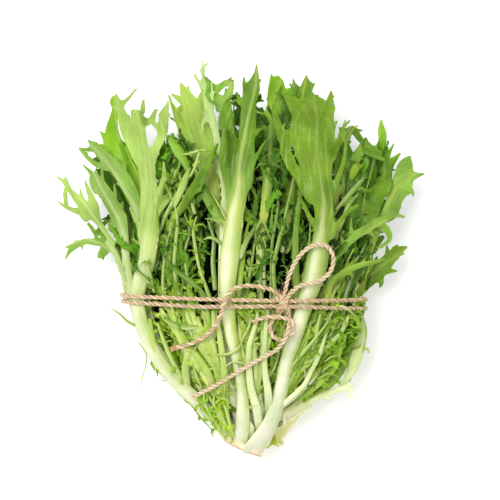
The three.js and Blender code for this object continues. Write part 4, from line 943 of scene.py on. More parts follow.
        (0, 0.3, [(168, 232, 1.4), (172, 236, 0.5)]),
    ],
    "right_tall": [
        (0, 0, [(372, 225, 4), (377, 205, 6), (384, 188, 6.6), (391, 172, 5.6), (388, 157, 4.6),
         (384.5, 143, 3.6), (382.8, 130, 3.7), (383.4, 120, 2.2)]),
        (0, 0.2, [(389, 155, 3), (393, 147, 1.4), (395, 141.5, 0.6)]),
        (0, 0.3, [(392, 166, 4), (397, 157, 3), (401.5, 151, 0.9)]),
        (2, -0.7, [(370, 208, 6), (371, 190, 8), (374, 172, 9), (377, 157, 9), (379, 148, 5)]),
        (0, 0.4, [(380, 200, 3), (383, 189, 1.8), (383.5, 182, 0.6)]),
    ],
    "right_far": [
        (0, 0, [(372, 236, 3), (383, 219, 5), (394, 204, 8), (401, 190, 10), (405, 177, 9.4),
         (408.5, 166, 6), (412, 156, 1)]),
        (0, 0.2, [(409, 180, 6), (416, 175, 3.6), (425.3, 172.8, 0.7)]),
        (0, -0.1, [(407, 188, 6), (413, 190, 3), (415.2, 194.8, 0.7)]),
        (0, 0.3, [(399, 176, 4), (402, 164, 3), (408, 157, 1.2)]),
        (1, 0.4, [(392, 196, 4), (386, 184, 2.2), (383, 178, 0.7)]),
        (1, -0.4, [(400, 206, 4), (398, 216, 2.4), (392, 222, 0.8)]),
    ],
    "right_slender": [
        (2, 0, [(340, 252, 2.6), (347, 243, 3.4), (357, 234, 4.2), (371, 226, 3.8), (384, 218.6, 3),
         (394, 214.6, 3), (405, 216.8, 0.7)]),
        (0, 0.3, [(352, 238, 2.4), (350.5, 228, 1.6), (350, 218.5, 0.6)]),
        (1, -0.4, [(378, 224, 3), (388, 230, 3), (392, 240, 2), (386, 247, 1.4), (380, 249, 0.7)]),
        (0, -0.3, [(366, 230, 2.4), (374, 236, 2), (376, 243, 0.8)]),
        (0, 0.3, [(344, 247, 2), (341, 236, 1.4), (343, 229, 0.6)]),
    ],
    "right_side": [
        (2, 0.1, [(318, 294, 3), (327, 286, 3.2), (336, 277, 3.4), (346, 270, 3.2), (358, 265, 2.6),
         (370, 262, 2), (380, 259, 0.7)]),
        (0, 0.3, [(330, 283, 1.8), (330, 270, 1.6), (336, 258, 1.4), (345, 250, 0.6)]),
        (0, -0.3, [(345, 271, 1.6), (352, 277, 0.6)]),
    ],
    "right_low": [
        (5, 0, [(346, 306, 3.4), (360, 292, 6), (372, 279, 7.8), (383, 268, 8), (393, 258, 6),
         (402, 250.5, 3.8), (409.5, 247, 0.8)]),
        (0, 0.2, [(398, 256, 3), (396, 249, 1.6), (400, 245, 0.6)]),
        (0, 0.2, [(380, 276, 5), (383, 283, 2.4), (381, 288, 0.7)]),
        (0, 0.2, [(372, 270, 4), (366, 263, 1.6), (362, 262, 0.6)]),
    ],
    "right_arch": [
        (2, -0.2, [(340, 190, 5), (341, 168, 6.5), (344, 150, 7.5), (349, 136, 6.5), (357, 129, 4.4),
         (364, 132, 3.8), (370, 141, 3.4), (374, 148, 3)]),
        (1, 0.3, [(346, 166, 6), (356, 156, 5), (366, 149, 3.4), (374, 147, 2)]),
        (0, 0.2, [(352, 170, 5), (364, 166, 4), (372, 158, 2)]),
        (1, 0.3, [(341, 144, 3), (340, 132, 2), (343.5, 124, 0.7)]),
    ],
    "low_curl": [
        (1, 0, [(268, 428, 3.6), (280, 416.5, 3.4), (291, 412.5, 3.2), (303, 408, 2.8), (316, 401.5, 2.6),
         (328, 396, 2.4), (340, 391.5, 2.4), (349, 390, 2.6), (352.6, 393, 2), (351, 398, 1.4),
         (347, 397.5, 0.9)]),
        (0, 0.5, [(326, 397, 1.8), (331, 402, 1.2), (334, 401, 0.6)]),
        (0, 0.8, [(346, 390, 2), (349, 386, 1.6), (353, 388, 0.7)]),
    ],
    "low_yellow": [
        (2, 0, [(257, 452, 3), (267, 445, 8), (278, 434, 11.5), (289, 420, 11.5), (298, 409, 7.5),
         (304, 401, 1.5)]),
        (1, 0.1, [(266, 450, 4), (274, 450.5, 2), (283, 448.5, 0.7)]),
    ],
}


def leaf_route(item):
    """The middle of the rib from its foot on the stump, as in the solid."""
    ring_y, radius, follow = RINGS[item["ring"]]
    angle = math.radians(item["angle"])
    x, z = STUMP_X + radius * math.cos(angle), STUMP_Z + radius * math.sin(angle)
    points = [(x, ring_y + (CUT_SLANT * (x - STUMP_X) if item["ring"] == 0 else 0), z)]
    if not item["full"]:
        half, middle, rise = outline_at(TIE_Y)
        across = (item["route"][0][0] - AXIS_X) / half
        up = (item["route"][0][2] - middle) / rise
        for y in follow:
            half, middle, rise = outline_at(y)
            points.append((AXIS_X + across * half, y, middle + up * rise))
    return points + item["route"]


class Rib:
    """A leaf's rib: its line and frame at each millimetre, run on straight past the tip."""

    def __init__(self, item):
        line, self.length = respaced(catmull_rom(leaf_route(item)), 1.0)
        last = line[-1] - line[-2]
        line = np.vstack([line, line[-1] + last * np.arange(1, OVERRUN + 1)[:, None]])
        self.s = np.arange(len(line)) * (self.length / (len(line) - 1 - OVERRUN))
        t = np.minimum(self.s / self.length, 1)
        beyond = np.nonzero(line[:, 1] >= TIE_Y)[0]
        tie_at = min(t[beyond[0]] if len(beyond) else 1.0, item["blade"] * 0.8)
        half, middle, rise = outline_at(line[:, 1])
        held = np.arctan2((line[:, 0] - AXIS_X) / half**2, (line[:, 2] - middle) / rise**2)
        lean = math.radians(item["roll"]) - held
        lean = np.arctan2(np.sin(lean), np.cos(lean))
        roll = held + lean * smooth((t - tie_at) / (item["blade"] + 0.1 - tie_at))
        tangent = unit(np.gradient(line, axis=0))
        outward = np.stack([np.sin(roll), np.zeros_like(roll), np.cos(roll)], 1)
        self.normal = unit(outward - tangent * (outward * tangent).sum(1, keepdims=True))
        self.side = np.cross(tangent, self.normal)
        self.line, self.tangent = line, tangent

    def at(self, s):
        """Point, side and normal at the distances s along the rib."""
        return [read_at(s, self.s, v) for v in (self.line, self.side, self.normal)]


def rib_half(item, t):
    """Half the rib's width, as in the solid."""
    foot, neck, tip = item["rib"]
    below = mix(foot, neck, t / item["blade"])
    above = mix(neck * 0.8, tip, np.clip((t - item["blade"]) / (1 - item["blade"]), 0, 1) ** 0.7)
    return np.where(t < item["blade"], below, above) / 2


def blade_half(item, t):
    """How far the whole blade reaches from the middle of the rib, with no lobes."""
    u = (t - item["blade"]) / (1 - item["blade"])
    away = np.where(u < item["peak"], 1 - u / item["peak"], (u - item["peak"]) / (1 - item["peak"]))
    web = mix(0.1, 1, np.cos(math.pi / 2 * np.clip(away, 0, 1)) ** 0.8)
    return rib_half(item, t) + item["web"] * web * smooth((u + 0.16) / 0.16)


# ---- A blade's outline, drawn flat: x along the rib, y across it -------------------------------------


TOOTHED = (0.34, 0.9)  # the shares of a limb's length between which it has teeth
TOOTH_LEAN = (38, 66)  # degrees between a tooth and its limb


class Limb:
    """A bent, tapering limb with pointed teeth: the flat form of a lobe."""

    def __init__(self, nodes, radii, bend, twist, rng, teeth):
        flat = catmull_rom(np.column_stack([nodes, radii]), 4)
        self.nodes, self.radii = flat[:, :2], np.maximum(flat[:, 2], LOBE_TIP)
        self.steps = np.linalg.norm(np.diff(self.nodes, axis=0), axis=1)
        self.far = np.concatenate([[0], np.cumsum(self.steps)])
        self.bend, self.twist = bend, twist
        self.spikes = []
        sign = rng.choice([-1, 1])
        for k in range(teeth):
            at = mix(*TOOTHED, (k + rng.uniform(0.2, 0.8)) / teeth) * self.far[-1]
            i = min(int(np.searchsorted(self.far, at)), len(self.steps)) - 1
            ahead = (self.nodes[i + 1] - self.nodes[i]) / self.steps[i]
            angle = sign * math.radians(rng.uniform(*TOOTH_LEAN))
            c, s = math.cos(angle), math.sin(angle)
            out = np.array([ahead[0] * c - ahead[1] * s, ahead[0] * s + ahead[1] * c])
            size = self.radii[i] * rng.uniform(1.0, 1.9) + rng.uniform(0.8, 2.0)
            tip = self.nodes[i] + out * size + ahead * size * 0.3
            self.spikes.append((self.nodes[i], tip, self.radii[i] * 0.75, LOBE_TIP))
            sign = -sign

    def reach(self, points):
        """Distance outside the limb, how far along it the nearest place is, and the side."""

        def nearest(a, b, ra, rb):
            """Distances to the tapering bars from a to b, how far along them, and the way from a."""
            ab = b - a
            ap = points[:, None] - a[None]
            t = np.clip((ap * ab).sum(2) / np.maximum((ab**2).sum(1), 1e-9), 0, 1)
            off = ap - t[..., None] * ab
            return np.sqrt((off**2).sum(2)) - (ra + t * (rb - ra)), t, ap

        a, b = self.nodes[:-1], self.nodes[1:]
        d, t, ap = nearest(a, b, self.radii[:-1], self.radii[1:])
        k = d.argmin(1)
        row = np.arange(len(points))
        along = self.far[k] + t[row, k] * self.steps[k]
        ab, rel = (b - a)[k], ap[row, k]
        across = (ab[:, 0] * rel[:, 1] - ab[:, 1] * rel[:, 0]) / self.steps[k]
        d = d[row, k]
        if self.spikes:
            a, b, ra, rb = (np.array(v) for v in zip(*self.spikes))
            d = np.minimum(d, nearest(a, b, ra, rb)[0].min(1))
        return d, along, across


FAR = 9.0  # distance given to what is out of a limb's neighbourhood
JOIN = 0.7  # how softly limbs and web run together
WEB_SHARE = 0.4  # how far up a blade with its own limbs the web goes


class Outline:
    """The flat form of a whole blade: the web along its rib and its limbs, run together softly. Called
    with points, it says how far outside the blade they are."""

    def __init__(self, item, length, limbs):
        self.item, self.length, self.limbs = item, length, limbs
        self.ragged = Waves(len(item["name"]) + item["reach"], 5.0)

    def parts(self, points):
        """For the web and each limb: distance, place along and side."""
        t = points[:, 0] / self.length
        foot = self.item["blade"] * self.length - 14
        neck = rib_half(self.item, np.clip(t, 0, 1))
        web = np.abs(points[:, 1]) - mix(neck, blade_half(self.item, np.clip(t, 0, 1)), self.item["webbing"])
        drawn = self.item["name"] in SHAPES
        end = self.length * (mix(self.item["blade"], 1.0, WEB_SHARE) if drawn else 1.0)
        web = np.maximum(web, np.maximum(points[:, 0] - end, foot - points[:, 0]))
        yield web + 0.35 * self.ragged(points), None, None
        for limb in self.limbs:
            wide = FAR + limb.radii.max()
            low, high = limb.nodes.min(0) - wide, limb.nodes.max(0) + wide
            close = np.nonzero(((points > low) & (points < high)).all(1))[0]
            d = np.full(len(points), FAR)
            along, across = np.zeros((2, len(points)))
            if len(close):
                d[close], along[close], across[close] = limb.reach(points[close])
            yield np.minimum(d, FAR), along, across

    def __call__(self, points):
        total = sum(np.exp(-np.clip(d, -6, FAR) / JOIN) for d, _, _ in self.parts(points))
        return -JOIN * np.log(total)

    def lift(self, points):
        """How far each point is bent out of the blade by the lobe that it is in."""
        weights, lifts = [], []
        for (d, along, across), limb in zip(self.parts(points), [None, *self.limbs]):
            weights.append(np.exp(-np.clip(d, -4, FAR)))
            if limb is None:
                lifts.append(np.zeros(len(points)))
            else:
                share = along / limb.far[-1]
                lifts.append(limb.bend * limb.far[-1] * share**1.5 + limb.twist * across * share)
        weights, lifts = np.array(weights), np.array(lifts)
        return (weights * lifts).sum(0) / weights.sum(0)


def solid_lobes(item, order, length):
    """The lobes of the leaf's solid: the same draws, and so the same places and directions."""
    draws = random_stream(101 + order)
    stations = item["blade"] + (1 - item["blade"]) * np.arange(item["lobes"] + 1) / item["lobes"]
    for number in range(item["lobes"]):
        u = (number + 0.5) / item["lobes"]
        share = 0.45 + 0.75 * math.sin(math.pi * mix(0.15, 0.85, u))
        side = 1 if number % 2 else -1
        size = item["reach"] * share * mix(0.75, 1.2, next(draws))
        forward = math.radians(mix(58, 30, u)) * mix(0.8, 1.2, next(draws))
        curl, bend, _ = mix(-0.35, 0.45, next(draws)), mix(-0.35, 0.35, next(draws)), next(draws)
        t = (stations[number] + stations[number + 1]) / 2
        root = (stations[number + 1] - stations[number]) * length
        yield side, t, size, forward, curl, bend, root


def draw_lobe(item, length, side, t, size, forward, curl, bend, root, rng):
    """A lobe in the blade's plane, from inside the web to its tip."""
    edge = mix(rib_half(item, t), blade_half(item, t), item["webbing"])
    start = np.array([t * length, side * edge])
    first = np.array([math.cos(forward), side * math.sin(forward)])
    second = np.array([math.cos(forward - curl), side * math.sin(forward - curl)])
    elbow = start + first * size / 2
    tip = elbow + second * size / 2
    inside = np.array([t * length - root * 0.3, side * edge * 0.4])
    waist = min(root * 0.3, 2.5)
    nodes = [inside, start, elbow, mix(elbow, tip, 0.55), tip]
    radii = [root * 0.34, min(root * 0.3, 3.4), waist, waist * 0.8, LOBE_TIP]
    return Limb(nodes, radii, bend, rng.uniform(-0.35, 0.35), rng, max(1, round(size / 3.4)))


def laid_flat(rib, places):
    """Places x, y, half-width seen from above, brought into the plane of the rib's blade."""
    places = np.array(places, float)
    off = places[:, None, :2] - rib.line[None, :, :2]
    k = (off**2).sum(2).argmin(1)
    off = off[np.arange(len(k)), k]
    ahead, side = rib.tangent[k, :2], rib.side[k, :2]
    along = (off * ahead).sum(1) / np.maximum((ahead**2).sum(1), 0.3)
    across = (off * side).sum(1) / np.maximum((side**2).sum(1), 0.3)
    return np.column_stack([rib.s[k] + along, across]), places[:, 2]


def limbs_of(item, order, rib):
    """The limbs of a blade: drawn ones where the leaf shows, and otherwise the lobes of its solid."""
    rng = np.random.default_rng(300 + order)
    limbs, length = [], rib.length
    if item["name"] in SHAPES:
        for teeth, bend, drawn in SHAPES[item["name"]]:
            places = [(*from_photo(x, y, to_tenth), to_tenth(half * PIXEL)) for x, y, half in drawn]
            nodes, radii = laid_flat(rib, places)
            limbs.append(Limb(nodes, radii, bend, rng.uniform(-0.2, 0.2), rng, teeth))
        return limbs
    for side, t, size, forward, curl, bend, root in solid_lobes(item, order, length):
        limbs.append(draw_lobe(item, length, side, t, size, forward, curl, bend, root, rng))
        # The other edge has a shorter lobe, and below each lobe there is a small tooth.
        shorter = (size * rng.uniform(0.45, 0.8), forward * rng.uniform(0.85, 1.2),
                   rng.uniform(-0.5, 0.5), rng.uniform(-0.35, 0.35))
        limbs.append(draw_lobe(item, length, -side, t + 0.2 * root / length, *shorter, root * 0.7, rng))
        tooth = (rng.uniform(2.5, 5.5), forward * rng.uniform(0.9, 1.3),
                 rng.uniform(-0.4, 0.4), rng.uniform(-0.3, 0.3))
        limbs.append(draw_lobe(item, length, side, t - 0.45 * root / length, *tooth, root * 0.4, rng))
    return limbs


NUDGE = 0.05  # how far to either side the field's slope is measured


def lattice(low, high, step):
    """Even triangles that fill a rectangle."""
    rows = int((high[1] - low[1]) / (step * math.sqrt(0.75))) + 2
    columns = int((high[0] - low[0]) / step) + 2
    j, i = np.divmod(np.arange(rows * columns), columns)
    points = np.stack([low[0] + (i + 0.5 * (j % 2)) * step, low[1] + j * step * math.sqrt(0.75)], 1)
    cell = np.nonzero((i < columns - 1) & (j < rows - 1))[0]
    even = j[cell] % 2 == 0
    a, b, c, d = cell, cell + 1, cell + columns, cell + columns + 1
    faces = np.vstack([np.stack([a, b, np.where(even, c, d)], 1), np.stack([np.where(even, b, a), d, c], 1)])
    return points, faces


def cut_lattice(field, low, high, step):
    """Even triangles inside the line where the field is zero, with their edge moved onto that line."""
    points, faces = lattice(low, high, step)
    f = field(points)
    near = np.nonzero(np.abs(f) < 0.32 * step)[0]
    nudges = NUDGE * np.eye(2)
    slope = np.stack([field(points[near] + d) - field(points[near] - d) for d in nudges], 1) / (2 * NUDGE)
    move = -slope * (f[near] / np.maximum((slope**2).sum(1), 0.2))[:, None]
    size = np.maximum(np.linalg.norm(move, axis=1), 1e-9)
    points[near] += move * np.minimum(1, 0.4 * step / size)[:, None]
    f[near] = 0
    inside = (f <= 0)[faces]
    whole = faces[inside.all(1)]
    whole = whole[field(points[whole].mean(1)) < 0.1 * step]
    return tidy_faces(*cut_across(points, f, faces, inside, whole))


def cut_across(points, f, faces, inside, whole):
    """Adds the inside parts of the triangles that the line crosses to the whole ones."""
    cut_points, cut_faces = [points], [whole]
    count = len(points)
    for wanted in (1, 2):
        chosen = inside.sum(1) == wanted
        tri, ins = faces[chosen], inside[chosen]
        if not len(tri):
            continue
        # Each triangle is turned round until its odd corner comes first, or last.
        first = ins.argmax(1) if wanted == 1 else (ins.argmin(1) + 1) % 3
        tri = tri[np.arange(len(tri))[:, None], (first[:, None] + np.arange(3)) % 3]
        new = []
        for p, q in ((0, 1), (0, 2)) if wanted == 1 else ((1, 2), (0, 2)):
            p, q = tri[:, p], tri[:, q]
            keys, back = np.unique(p * len(f) + q, return_inverse=True)
            kp, kq = np.divmod(keys, len(f))
            share = f[kp] / (f[kp] - f[kq])
            cut_points.append(mix(points[kp], points[kq], share[:, None]))
            new.append(np.where(f[p] == 0, p, count + back.ravel()))
            count += len(keys)
        if wanted == 2:
            cut_faces.append(np.stack([tri[:, 0], tri[:, 1], new[0]], 1))
        cut_faces.append(np.stack([tri[:, 0], new[0], new[1]], 1))
    return np.vstack(cut_points), np.vstack(cut_faces)


def tidy_faces(points, faces):
    """Joins equal points, drops what has no area, and keeps only the largest piece."""
    _, first, back = np.unique(np.round(points, 4), axis=0, return_index=True, return_inverse=True)
    points, faces = points[first], back.ravel()[faces]
    distinct = (faces[:, 0] != faces[:, 1]) & (faces[:, 1] != faces[:, 2]) & (faces[:, 2] != faces[:, 0])
    faces = faces[distinct]
    label = np.arange(len(points))
    while True:
        low = label[faces].min(1)
        fresh = label.copy()
        for k in range(3):
            np.minimum.at(fresh, faces[:, k], low)
        fresh = fresh[fresh]
        if (fresh == label).all():
            break
        label = fresh
    names, sizes = np.unique(label[faces[:, 0]], return_counts=True)
    faces = faces[label[faces[:, 0]] == names[sizes.argmax()]]
    used, back = np.unique(faces, return_inverse=True)
    return points[used], back.reshape(faces.shape)


def rib_tint(item, share):
    """The petiole's tint from its white foot to the green of the blade's start."""
    return read_at(share, RIB_PLACES, np.array([colour(code) for code in RIB_TINTS[item["stem"]]]))


def blade_tint(item, flat, length, face, waves):
    """Green away from the rib and up the blade, and paler along the rib."""
    t = np.clip(flat[:, 0] / length, 0, 1)
    u = np.clip((t - item["blade"]) / (1 - item["blade"]), 0, 1)
    first, last = (colour(TONES[item[end]][face]) for end in ("tint", "tip"))
    green = mix(first, last, smooth((u - 0.62) / 0.25)[:, None])
    green = green * (1 + 0.16 * waves(flat))[:, None]
    pale = rib_tint(item, t / item["blade"])
    width = mix(1.05 * rib_half(item, t) + 1.0, 0.9, smooth(u * 1.6)) * (1 - 0.62 * item["wings"])
    near = np.exp(-(np.abs(flat[:, 1]) / width) ** 1.6) * mix(1.0, item["fade"], smooth(u * 1.3))
    reach = mix(2.6, 1.2, item["pale"])
    low = (1 - smooth(u * reach)) * mix(0.75, 1.0, item["pale"]) * (1 - 0.8 * item["wings"])
    low = low * np.exp(-np.abs(flat[:, 1]) / (blade_half(item, t) * mix(1.6, 4.0, item["pale"])))
    return mix(green, pale, np.clip(near + low, 0, 1)[:, None])


TONE_PATCH = 34.0  # the size of the patches of lighter and deeper green


def add_blade(shell, item, order, rib, outline):
    """The thin blade: its flat form laid along the rib's frames, rippled, curved back and thickened."""
    start = item["blade"] * rib.length
    ends = np.vstack([*(limb.nodes for limb in outline.limbs), [[start - 15, 0], [rib.length, 0]]])
    wide = item["web"] + max(item["rib"]) + 2
    low = np.minimum(ends.min(0), [math.inf, -wide]) - 4
    high = np.maximum(ends.max(0), [-math.inf, wide]) + 4
    flat, faces = cut_lattice(outline, low, high, BLADE_STEP)
    point, side, normal = rib.at(np.clip(flat[:, 0], 0, rib.s[-1]))
    t = np.clip(flat[:, 0] / rib.length, 0, 1)
    across = flat[:, 1]
    share = across / blade_half(item, t)
    ripple = RIPPLE * Waves(500 + order, 26.0)(flat * (1, 0.6)) * np.minimum(np.abs(share), 1.6) ** 1.4
    ripple = ripple + 0.35 * Waves(700 + order, 8.0)(flat) * np.minimum(np.abs(share), 1)
    lift = outline.lift(flat) + ripple - BACK_CURVE * across**2
    points = point + side * across[:, None] + normal * lift[:, None]
    points[:, 2] = np.maximum(points[:, 2], BLADE_LOWEST)
    faces = faces[:, ::-1]
    edge = np.clip(-outline(flat) / 3.0, 0, 1)
    fleshy = np.exp(-(across / (0.6 * rib_half(item, t) + 0.5)) ** 2)
    half_thick = mix(0.16, 0.3, edge) + 0.5 * fleshy * (1 - 0.6 * t)
    both, faces = thicken(points, sheet_normals(points, faces), half_thick, faces)
    tone_waves = Waves(900 + order, TONE_PATCH)
    tints = np.vstack([blade_tint(item, flat, rib.length, face, tone_waves) for face in (0, 1)])
    places = np.column_stack([flat, share])
    shell.add(both, faces, tints, np.vstack([places, places]))


# What the sides of a petiole are multiplied by: greener on the left, and greener with painted shade on the
# right.
LEFT_FLANK = np.array([0.8, 0.9, 0.5])
RIGHT_FLANK_SHADE = np.array([0.5, 0.6, 0.22])
RIB_RIDGES = 11


def petiole_end(item, rib, outline):
    """How far along the rib it stays fleshy, before the blade gets too narrow for it."""
    start = item["blade"] * rib.length
    ahead = np.linspace(start, rib.length - 1.5, 60)
    gone = outline(np.column_stack([ahead, 0 * ahead])) > -0.7
    return max(ahead[gone.argmax()] if gone.any() else ahead[-1], start + 4)


def petiole_tints(item, rib, s, u, side, flat):
    """White to green up the rib, with greener flanks, painted shade on the right one, a pale ridge whitened
    by a painted highlight, and the blade's wings beside it.
    """
    around = circle(PETIOLE_SIDES)
    s, u = np.repeat(s, PETIOLE_SIDES), np.repeat(u, PETIOLE_SIDES)
    share = np.maximum(s, 0) / rib.length / item["blade"]
    green = blade_tint(item, flat, rib.length, 0, Waves(900, TONE_PATCH))
    tint = rib_tint(item, share)
    rightward = (np.sin(around)[None] * np.sign(side[:, :1])).reshape(-1, 1)
    up_the_rib = smooth(s / 55)[:, None]
    left_flank = 0.5 * smooth(-rightward * 1.25 - 0.6) * up_the_rib
    tint = mix(tint, tint * LEFT_FLANK, left_flank)
    right_flank = item["flank"] * smooth((rightward + 0.25) / 1.1) * mix(0.3, 1.0, up_the_rib)
    tint = mix(tint, tint * RIGHT_FLANK_SHADE, right_flank)
    rows = len(s) // PETIOLE_SIDES
    # A painted highlight whitens the pale ridge on the upper side, fading up the rib.
    ridge = np.tile(np.exp(-(np.sin(around + 0.4) / 0.36) ** 2) * (np.cos(around) > 0), rows)
    ridge_highlight_strength = item["streak"] - 0.38 * (1 - item["wings"]) * smooth(share)
    tint = mix(tint, colour("eff0e7"), ridge[:, None] * np.maximum(ridge_highlight_strength, 0)[:, None])
    edge = np.tile(smooth(np.abs(np.sin(around)) * 2.4 - 1.0), rows) * item["wings"]
    tint = mix(tint, green, (edge * smooth((share - 0.72) / 0.22))[:, None])
    return mix(tint, green, smooth(u * 3)[:, None])


def add_petiole(shell, item, rib, outline):
    """The fleshy rib: ridged along its length, it sinks into the blade as a midrib."""
    end = petiole_end(item, rib, outline)
    rows = int(rib.length / PETIOLE_STEP)
    s = np.linspace(-FOOT_DEPTH if item["ring"] == 0 else 0, end, rows)
    t = np.maximum(s, 0) / rib.length
    point, side, normal = rib.at(s)
    point = point + rib.tangent[0] * np.minimum(s, 0)[:, None]
    u = np.clip((t - item["blade"]) / (end / rib.length - item["blade"]), 0, 1)
    neck = rib_half(item, np.full(1, item["blade"] * 0.999))[0]
    sink = smooth(u / 0.4)
    half = np.where(u > 0, mix(neck * (1 - 0.8 * sink), 0.5, u), rib_half(item, t))
    half = half * (1 + item["flare"] * np.exp(-np.maximum(s, 0) / 19))
    half = half * (1 - 0.25 * np.exp(-((s + FOOT_DEPTH) / 4) ** 2)) * np.interp(s, *item["girth"])
    thick = np.minimum(0.42 * 2 * rib_half(item, t), 5.2) / 2
    thick = np.where(u > 0, np.maximum(mix(thick * (1 - 0.6 * sink), 0.3, u), mix(0.95, 0.4, u)), thick)
    around = circle(PETIOLE_SIDES)
    full = np.sign(np.cos(around)) * np.abs(np.cos(around)) ** 0.85
    ridges = 1 + 0.035 * np.cos(RIB_RIDGES * around)[None] * smooth(s / 30)[:, None] * (1 - sink)[:, None]
    tube = point[:, None] + (normal[:, None] * (full * ridges * thick[:, None])[..., None]
                             + side[:, None] * (np.sin(around) * ridges * half[:, None])[..., None])
    tube[..., 2] = np.maximum(tube[..., 2], PETIOLE_LOWEST)
    across = np.sin(around)[None] * half[:, None]
    flat = np.stack([np.repeat(s, PETIOLE_SIDES), across.ravel()], 1)
    share = (across / blade_half(item, t)[:, None]).ravel()
    in_blade = np.repeat(u, PETIOLE_SIDES) > 0
    places = np.column_stack([flat, np.where(in_blade, share, np.tile(np.sin(around), rows))])
    tints = petiole_tints(item, rib, s, u, side, flat)
    shell.add(np.vstack([tube.reshape(-1, 3), point[[0, -1]]]), tube_faces(rows, PETIOLE_SIDES),
              np.vstack([tints, tints[[0, -1]]]), np.vstack([places, places[[0, -1]]]))


DULL, GLOSSY = 0.5, 0.42  # how rough the leaves of the dull tones are, and the others
DULL_TONES = ("silver", "pale")


def make_leaves():
    """Every large leaf, in the place of its solid. Leaves of one tone share a material."""
    tones = sorted({item["tone"] for item in LEAVES})
    looks = {tone: leaf_material(f"leaf_{tone}", DULL if tone in DULL_TONES else GLOSSY) for tone in tones}
    for order, item in enumerate(LEAVES):
        name, tone = item["name"], item["tone"]
        rib = Rib(item)
        shell = Shell()
        outline = Outline(item, rib.length, limbs_of(item, order, rib))
        add_petiole(shell, item, rib, outline)
        add_blade(shell, item, order, rib, outline)
        shell.build(f"leaf_{name}_frilled", looks[tone], f"leaf_{tone}", f"leaf_{name}")


# ---- Heart ------------------------------------------------------------------------------------------

INNER_LEAVES = 84
GOLDEN_ANGLE = 2.399963  # between one inner leaf and the next, round the head's axis
INNER_START_Y = -84
CROWN_CURLS = 190
FRILL_ROWS = 8
FRILL_HALF_THICK = 0.2
LOWEST = 0.5  # above the surface that the head lies on
ELLIPSE_EASE = 1.04  # how much wider than the outline the head's upper surface is taken to be
SIDES_OPEN = 0.2  # how fast the head's sides draw apart past the tie
COVER_SPAN = 16  # how far from a large rib it is looked for
SOFT_FROM = 0.92  # the share of the head's reach from which what grows inside is held back
CORE_SHARE = 0.74  # of the head's height and width, below the curls
CORE_ENDS = (-100, 74)
CORE_LUMPS = 0.13
STRAND_STEP = 1.6
RIGHT_SHADE = np.array([0.72, 0.8, 0.62])
LEAFY_LEFT = np.array([1.0, 1.1, 0.62])
LEAFY_RIGHT = np.array([0.88, 0.99, 0.6])
STEM_SHARE = 0.4  # how far the fleshy parts take the tone of the leafy ones
STRAND_SHADE = np.array([0.8, 0.84, 0.68])  # the painted shade that darkens the strands above the twine
# What the pale tangles below the twine are tinted by, at the left and at the right.
LOW_LEFT = np.array([0.93, 1.0, 0.75])
LOW_RIGHT = np.array([0.7, 0.86, 0.42])
GREENS = [colour(code) for code in ("427a0c", "528c12", "639b1c", "7bab34", "8fb548", "a9c56a")]
PALES = [colour(code) for code in ("b0c84c", "c0d36a", "9dbd34", "d3dea0", "8ab12a", "bccf58")]
# Half the width of the blades that no curls come up through.
COVERING = {"centre": 7, "right_broad": 12, "left_front": 8, "back_pale": 11}


def surface_z(x, y):
    """The height of the head's upper surface."""
    half, middle, rise = outline_at(y)
    return middle + rise * np.sqrt(np.clip(1 - ((x - AXIS_X) / (half * ELLIPSE_EASE)) ** 2, 0.02, 1))


@functools.cache
def big_ribs():
    """The lines of the large leaves on top, below and above the start of the blade, half the width that
    nothing comes up through, and how far below the line that stays."""
    ribs = []
    for item in LEAVES:
        if item["name"] in COVERING:
            line, _ = respaced(catmull_rom(leaf_route(item)), 1.5)
            start = int(len(line) * item["blade"])
            ribs.append((line[: start + 5], max(item["rib"][:2]) / 2, 2.5))
            ribs.append((line[start:], COVERING[item["name"]], 4.0))
    return ribs


def under_ribs(points, lines):
    """Presses what would come up through the large ribs back under them."""
    for line, half, below in lines:
        near = np.nonzero((np.abs(points[:, None, :2] - line[None, ::6, :2]).max(2) < COVER_SPAN).any(1))[0]
        off = points[near, None, :2] - line[None, :, :2]
        k = (off**2).sum(2).argmin(1)
        far = np.sqrt((off[np.arange(len(near)), k] ** 2).sum(1))
        covered = 1 - smooth((far - half) / 2)
        ceiling = line[k, 2] - below
        points[near, 2] = np.minimum(points[near, 2], mix(points[near, 2], ceiling, covered))
    return points


def depth_inside(points):
    """How deep points lie under the nearest side of the head's outline, counted less on the underside:
    the measure of the heart's painted shade.
    """
    half, middle, rise = outline_at(points[:, 1])
    far = np.hypot((points[:, 0] - AXIS_X) / (half * ELLIPSE_EASE), (points[:, 2] - middle) / rise)
    return (1 - far) * rise * mix(0.25, 1, smooth((points[:, 2] - middle + 8) / 20))


def between_sides(points):
    """Keeps curls near the surface from standing out at the head's sides."""
    half = outline_at(points[:, 1])[0] + SIDES_OPEN * np.maximum(0, points[:, 1] - TIE_Y)
    off = points[:, 0] - AXIS_X
    far = np.abs(off)
    x = AXIS_X + np.sign(off) * np.where(far > half, half + 0.15 * (far - half), far)
    return above_floor(np.column_stack([x, points[:, 1:]]))


def above_floor(points):
    return np.column_stack([points[:, :2], np.maximum(points[:, 2], LOWEST)])


def head_point(a, b, y):
    """The place at the shares a across and b up of the head's width and height at y."""
    half, middle, rise = outline_at(y)
    beyond = max(0.0, y - TIE_Y)
    return np.array([AXIS_X + a * (half + SIDES_OPEN * beyond), y, middle + b * (rise - 0.13 * beyond)])


def turned(v, axis, angle):
    """v turned about unit axes, by an angle for each row."""
    c, s = np.cos(angle)[:, None], np.sin(angle)[:, None]
    return v * c + np.cross(axis, v) * s + axis * (axis * v).sum(1, keepdims=True) * (1 - c)


